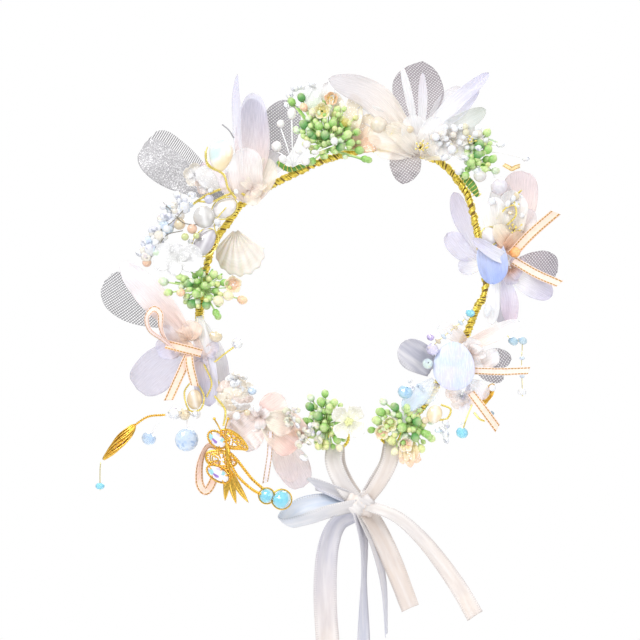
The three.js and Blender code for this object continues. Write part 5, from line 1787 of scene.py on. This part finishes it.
def green_sprays():
    """Five sprays of berries, with the cream cups and leaves that sit among them."""
    spray("berries_left", "green_spray_left", (-71, -3.4, 2), [
        (-76, -7, -6, 2.3, DARK_GREEN), (-68.7, -8, -6.5, 2.2, DARK_GREEN),
        (-69.5, -10, 3, 2.3, GREEN, 1), (-77.5, -8, 4, 2.2, DARK_GREEN), (-90, -7, 5, 2.3, PALE_GREEN),
        (-87.5, -8, -0.5, 2.1, LIGHT_GREEN), (-81, -9, 7, 2.2, LIGHT_GREEN, 1),
        (-81, -10, -0.5, 2.0, PEACH), (-63.5, -8, -11.2, 2.2, GREEN, 1),
        (-62.7, -9, -4.5, 2.6, BUD_CREAM), (-58, -8, -2, 2.5, BUD_CREAM), (-51, -7, -4, 2.3, PEACH),
        (-72, -9, 9.5, 2.0, GREEN), (-65, -8, 8.5, 2.0, LIGHT_GREEN), (-73.5, -10, -1, 2.2, GREEN),
        (-84, -6, 10, 1.9, PALE_GREEN), (-60, -6.5, 4.5, 1.9, GREEN),
    ], ((-71, -5, 1), (14, 5, 10)), 30)
    cup = Pile("cream_cups", FROSTED, thickness=0.25)
    cup_flower(cup, (-55.5, -6.5, 3.5), 4.4, veil(PEACH, 1), veil(BUD_CREAM, 1), lift=3)
    cup_flower(cup, (-11.5, -9.2, 89), 4.2, colour(222, 210, 120, 1), veil(BUD_CREAM, 1), phase=2)
    cup_flower(cup, (22, -7.5, -65.5), 3.8, colour(222, 214, 120, 1), veil(BUD_CREAM, 1), phase=4)
    cup_flower(cup, (18, -7, -69.5), 3.6, veil(PEACH, 1), veil(BUD_CREAM, 1), phase=1)
    cup_flower(cup, (29.7, -7.5, -75.5), 3.8, veil(PEACH, 1), veil(CREAM, 1), phase=5)
    cup_flower(cup, (-7, -6, 95.5), 3.4, colour(236, 206, 120, 1), veil(PEACH, 1), lift=2.2, phase=3)

    spray("berries_left_end", "green_spray_left_end", (-9, -3.4, -66), [
        (-17.5, -6, -57, 2.2, DARK_GREEN), (-12, -8, -54.5, 2.2, GREEN), (-18.5, -7, -64, 2.2, GREEN, 1),
        (-13.5, -9, -61.5, 2.4, DARK_GREEN), (-8, -9, -58, 2.2, LIGHT_GREEN, 1),
        (-16, -8, -70.5, 2.2, LIGHT_GREEN), (-10.5, -9.5, -67, 2.3, GREEN),
        (-5.5, -7.5, -55, 2.0, LIGHT_GREEN), (-13, -8, -76, 2.1, YELLOW_GREEN),
        (-9.5, -9.4, -75.5, 2.0, YELLOW_GREEN, 1), (-4, -8.5, -73, 2.1, GREEN),
        (-3, -10, -77, 1.8, BUD_CREAM), (-17, -6, -52.5, 1.9, PALE_GREEN),
        (-20.5, -5.5, -69, 1.9, PALE_GREEN), (-10, -7, -50.5, 1.9, GREEN),
    ], ((-9, -4.5, -65.5), (11, 4.5, 14)), 34)
    open_flower = Pile("cream_open_flower", FROSTED, "cream_flower", thickness=0.3)
    cup_flower(open_flower, (1.5, -10.6, -64), 9.2, colour(240, 240, 218, 1), colour(252, 249, 243, 0.92),
        petals=4, turn=0.9, lift=3.4)
    seeds = 9
    for k in range(seeds):
        angle, reach = k * GOLDEN_ANGLE, 1.7 * math.sqrt((k + 0.5) / seeds)
        berry(open_flower, (1.5 + reach * math.cos(angle), -12, -64 + reach * math.sin(angle)), 0.75,
            YELLOW_GREEN, (0, -1, 0))

    spray("berries_right_end", "green_spray_right_end", (31, -3.4, -64), [
        (17.5, -7, -59.5, 2.3, GREEN), (24.5, -8, -57, 2.2, DARK_GREEN),
        (15.5, -8, -63.5, 2.2, LIGHT_GREEN), (35.5, -8, -64.2, 2.4, DARK_GREEN),
        (40, -8, -70.5, 2.3, GREEN, 1), (28, -9.5, -67, 2.4, GREEN), (42.5, -7, -72.5, 2.0, LIGHT_GREEN),
        (30.5, -8, -58, 2.1, LIGHT_GREEN, 1), (23, -8, -73.5, 2.1, YELLOW_GREEN),
        (34.5, -9, -72, 2.2, DARK_GREEN), (37.5, -8, -77.5, 2.0, YELLOW_GREEN),
        (24.5, -8, -79, 2.0, BUD_CREAM), (19, -6, -54.5, 1.9, PALE_GREEN),
        (42.5, -6, -64, 1.9, PALE_GREEN), (13, -6, -68.5, 1.8, GREEN),
    ], ((28.5, -5, -66.5), (15, 4.5, 11)), 40)
    pointed = Pile("pointed_cream_petals", FROSTED, thickness=0.25)
    for tip, phase in (((32.5, -7, -87), 0), ((37.5, -6.5, -83.5), 2), ((27, -6.5, -84.5), 4)):
        petal(pointed, [(31, -5, -71), ((31 + tip[0]) / 2, -8, (tip[2] - 73) / 2 - 3), tip], 6,
            colour(226, 226, 150, 1), colour(250, 218, 192, 1), fold=0.15, point=0.8, phase=phase)

    spray("berries_top_left", "green_spray_top_left", (-9.5, -3.4, 71), [
        (-26.5, -6, 94, 2.1, GREEN), (-21.7, -6.5, 96.2, 2.1, DARK_GREEN),
        (-20.5, -8, 82.5, 2.3, DARK_GREEN), (-16.5, -9, 77, 2.2, DARK_GREEN, 1),
        (-13, -9.5, 81.5, 2.2, GREEN), (-6.2, -9, 83, 2.2, GREEN),
        (0, -8, 83.5, 2.1, colour(196, 186, 90)), (-10, -10, 77, 2.3, DARK_GREEN),
        (1, -9, 77.5, 2.2, LIGHT_GREEN), (2.5, -8, 73.5, 2.1, GREEN), (-2.5, -9, 71.2, 2.1, DARK_GREEN),
        (7, -7, 70, 2.1, GREEN), (10.5, -7, 65.5, 2.1, GREEN, 1), (-24, -6.5, 80, 2.0, PALE_GREEN),
        (-16, -7.5, 88.5, 2.1, BUD_CREAM), (-20.5, -7, 91.2, 2.0, PEACH), (-4, -6, 90, 2.0, LIGHT_GREEN),
        (-16.5, -7, 64.5, 2.0, GREEN), (5.5, -6, 79, 2.0, LIGHT_GREEN), (-11, -5, 93, 1.9, GREEN),
    ], ((-8.5, -5.5, 79), (16, 5, 15)), 52)
    leaves = Pile("frosted_leaves_top", FROSTED, thickness=0.2)
    straw, sand = colour(240, 232, 200), colour(240, 226, 196)
    for line, width, base, tip, phase in (
        ([(-14, -4, 84), (-15.5, -5.5, 94), (-19, -5, 104)], 8, PALE_GREEN, WHITE, 0),
        ([(-12, -4, 85), (-9.5, -5.5, 95), (-8.5, -5, 104)], 8, PALE_GREEN, WHITE, 2),
        ([(-4, -4, 74), (-3.5, -6, 87), (-5.5, -5, 99)], 8, straw, colour(246, 240, 224), 4),
        ([(0, -3.6, 73), (4, -6, 86), (4.5, -5, 98.5)], 9, sand, colour(248, 240, 222), 1),
        ([(3, -3.4, 71), (9, -5, 79), (12.5, -5, 88)], 9, PEACH, colour(246, 236, 216), 3),
        ([(5, -4.4, 70), (11.5, -6, 73), (17.5, -5, 75.5)], 8, PEACH, colour(250, 216, 190), 5),
    ):
        petal(leaves, line, width, veil(base, 0.85), veil(tip, 0.8), cup=0.14, ruffle=0.07, phase=phase)

    spray("berries_top_right", "green_spray_top_right", (61, -3.4, 61), [
        (66, -10, 72.5, 2.3, DARK_GREEN), (70.2, -9, 70, 2.2, GREEN), (72.7, -8, 65.5, 2.1, GREEN),
        (65.5, -10, 67.5, 2.2, DARK_GREEN), (62, -9, 63.5, 2.3, GREEN), (70, -8, 78.5, 2.1, LIGHT_GREEN),
        (68, -8, 60.5, 2.1, LIGHT_GREEN, 1), (59.5, -8, 57.5, 2.0, GREEN),
        (74.5, -6, 60, 1.9, PALE_GREEN),
    ], ((66, -5.5, 68), (8, 4.5, 10)), 24)

    stalks = Pile("green_stalks", GREENS)
    tube(stalks, [(-23.5, -5, 91.2), (-18.5, -6.2, 84.5), (-15, -5.6, 79.5), (-8.5, -3.6, 69)], 0.7,
        GREEN, sides=7)
    tube(stalks, [(1, -5, 68), (6, -5.4, 66.6), (11.5, -5, 64.5)], 0.6, GREEN, sides=7)
    tube(stalks, [(61, -3.4, 61), (67.5, -6, 75), (77, -5.5, 74)], 0.5, PALE_GREEN, sides=7)
    for k in range(7):
        angle = math.radians(20 + 24 * k)
        tip = (-71 + 14 * math.cos(angle), -5, 2 + 10 * math.sin(angle))
        tube(stalks, [(-71, -3, 2), ((tip[0] - 71) / 2, -5.6, (tip[2] + 3) / 2), tip], 0.42, GREEN,
            steps=8)


def pearl_spray():
    """Pearls and crystals on white wires that rise from one root."""
    pile = Pile("spray_pearls", PEARL, "pearl_spray")
    wires = Pile("spray_wires", ENAMEL)
    gems = Pile("spray_crystals", AURORA)
    root = np.array([-26, -4.5, 62])
    for x, y, z, radius, squash in (
        (-26.5, -9, 88, 2.236, 1.35), (-32, -8, 83, 1.978, 1), (-34, -7, 72, 2.58, 1),
        (-19, -11, 72.5, 1.978, 1), (-31, -10, 65.5, 1.978, 1), (-19.5, -9, 64.5, 2.15, 1),
        (-5.5, -12, 74, 1.978, 1), (-15, -12, 68.5, 1.892, 0.65), (-23, -10, 69, 1.72, 0.7),
    ):
        place = np.array([x, y, z], float)
        bead(pile, place, radius, colour(252, 249, 245), (0.1, 0, 1), squash=squash, hole=0.1)
        tube(wires, [root, (root + place) / 2 + np.array([0, -1.5, 0]),
            place - np.array([0, -0.4, radius])], 0.3, steps=10)
    for x, z, radius in (
        (-25, 100.7, 2.1), (-27.5, 97.5, 2.0), (-22, 101.5, 2.0), (-16.5, 103, 2.1), (-29, 92.5, 1.6),
    ):
        gem(gems, (x, -6.5, z), radius, CLEAR, any_way(), height=0.9)
        tube(wires, [(-20, -5, 91), (x * 0.6 - 8, -6.4, z - 5), (x, -6.5, z - radius)], 0.22, sides=5,
            steps=8)


# ---------------------------------------------------------------- pieces that hang or stand off


def wheat_ear(pile, line, width, strands=22):
    """A spindle of fine gold strands round a line, as a twisted ear."""
    centre = through(line, 24)
    side, up = carried_frames(centre)
    share = np.linspace(0, 1, 25)
    swell = 0.12 + np.sin(math.pi * share**0.8) ** 0.8
    for k in range(strands):
        reach = width / 2 * (0.55 + 0.45 * golden(k))
        phase = 2 * math.pi * k / strands + 2.0 * share
        sideways, upwards = reach * swell * np.cos(phase), reach * 0.75 * swell * np.sin(phase)
        strand = centre + sideways[:, None] * side + upwards[:, None] * up
        sweep_line(pile, strand, 0.34, WHITE, 5)


def dangles():
    """The two wheat ears, and the beads and the disc that hang on threads."""
    left = Pile("left_wheat_strands", CHARM_GOLD, "wheat_ear_left", body="left_wheat")
    twisted_wire(left, [(-88.6, -12.4, -60.6), (-97, -12.4, -61.5), (-104, -12, -66)], 0.32)
    wheat_ear(left, [(-103.5, -12, -65.5), (-110.5, -12, -73.5), (-119, -12, -82.5)], 5.2)

    gem(Pile("aqua_drop_bead", TINTED, "aqua_drop", body="aqua_thread"), (-120.6, -12, -95.6), 2.3, AQUA,
        (0, 0, 1), height=1.0, sides=9)
    tube(Pile("aqua_drop_thread", FINE_GOLD, body="aqua_thread", slot="gold_wire"),
        [(-120.3, -12, -84), (-120.6, -12, -88), (-120.6, -12, -97.6)], 0.22)

    disc = Pile("blue_faceted_disc", TINTED, "blue_disc_drop", body="disc_thread")
    facets = [(5.8 * math.cos(a), 2.9 * math.sin(a)) for a in np.linspace(-1.45, 1.45, 9)]
    lathe(disc, (-78.5, -7, -73.3), facets, (0.1, -1, 0.05), colour(214, 230, 248), sides=14,
        stagger=True)
    tube(Pile("blue_disc_wire", ENAMEL, body="disc_thread"),
        [(-78.5, -7, -60), (-78.2, -7.4, -64.5), (-78.5, -7, -69)], 0.36)

    strand = Pile("crystal_strand_beads", AURORA, "crystal_strand", body="crystal_thread")
    for z, radius, tint in (
        (-33, 1.4, PALE_BLUE), (-37.5, 1.2, CLEAR), (-42, 1.3, PALE_BLUE), (-49.8, 2.3, CLEAR),
    ):
        gem(strand, (88.1, -3, z), radius, tint, (0, 0, 1), height=0.95)
    tube(Pile("crystal_strand_thread", FINE_GOLD, body="crystal_thread", slot="gold_wire"),
        [(88, -3, -29.8), (87.9, -3, -38), (88.3, -3, -52)], 0.18)

    upper = Pile("strand_top_beads", TINTED)
    gem(upper, (83.5, -4, -24.5), 2.6, colour(190, 218, 232), (0.5, 0, 0.8), sides=9)
    gem(upper, (88.2, -4, -24.2), 2.4, colour(200, 222, 232), (0.5, 0, 0.8), sides=9)
    tube(Pile("strand_top_wire", FINE_GOLD, slot="gold_wire"),
        [(80, -4.4, -21), (83.5, -4, -24.5), (87.6, -4, -24.2), (88.1, -3.4, -29.4)], 0.2)

    right = Pile("right_wheat_strands", CHARM_GOLD, "wheat_ear_right", body="right_wheat")
    wheat_ear(right, [(75.5, 10.4, -46.5), (73, 10.4, -51.5), (70, 10.4, -57.5)], 4.4, 16)
    tube(right, [(70.3, 10.4, -57), (71, 10.4, -59), (73, 10.4, -60.5)], 0.3)
    gem(Pile("right_wheat_bead", AURORA, body="right_wheat"), (73.5, 10.4, -61.4), 2.5,
        colour(150, 180, 196), (0, 0, 1), height=0.8)


# ---------------------------------------------------------------- floor


def floor():
    """A wide sheet of paper under the tails."""
    paint = Paint("floor_paper", Roughness=0.9)
    paint.set(Base_Color=paint.mix(paint.noise(0.004), (0.86, 0.86, 0.86, 1), (0.9, 0.9, 0.9, 1)))
    rings, sides, reach, level = 6, 72, 520, -330
    points = [(0, 0, level)]
    for i in range(1, rings + 1):
        radius = reach * i / rings
        points += [(x, z, level) for x, _, z in oval((0, 0, 0), radius, radius, sides)]
    faces = [(0, 1 + k, 1 + (k + 1) % sides) for k in range(sides)]
    faces += [tuple(1 + i for i in face) for face in grid_faces(rings, sides, wrap=True)]
    mesh = bpy.data.meshes.new("floor")
    mesh.from_pydata((np.array(points) * MM).tolist(), [], faces)
    mesh.materials.append(paint.material)
    ground = bpy.data.objects.new("floor", mesh)
    bpy.context.scene.collection.objects.link(ground)


set_camera()
wire_ring()
stem_ties()
satin_ribbon()
flower_top_left()
stones_left()
shell_fan()
flower_left()
flower_lower_left()
butterfly_charm()
flower_top()
flower_right()
flower_lower_right()
green_sprays()
pearl_spray()
dangles()
for pile in Pile.every:
    pile.make()
set_studio()
floor()
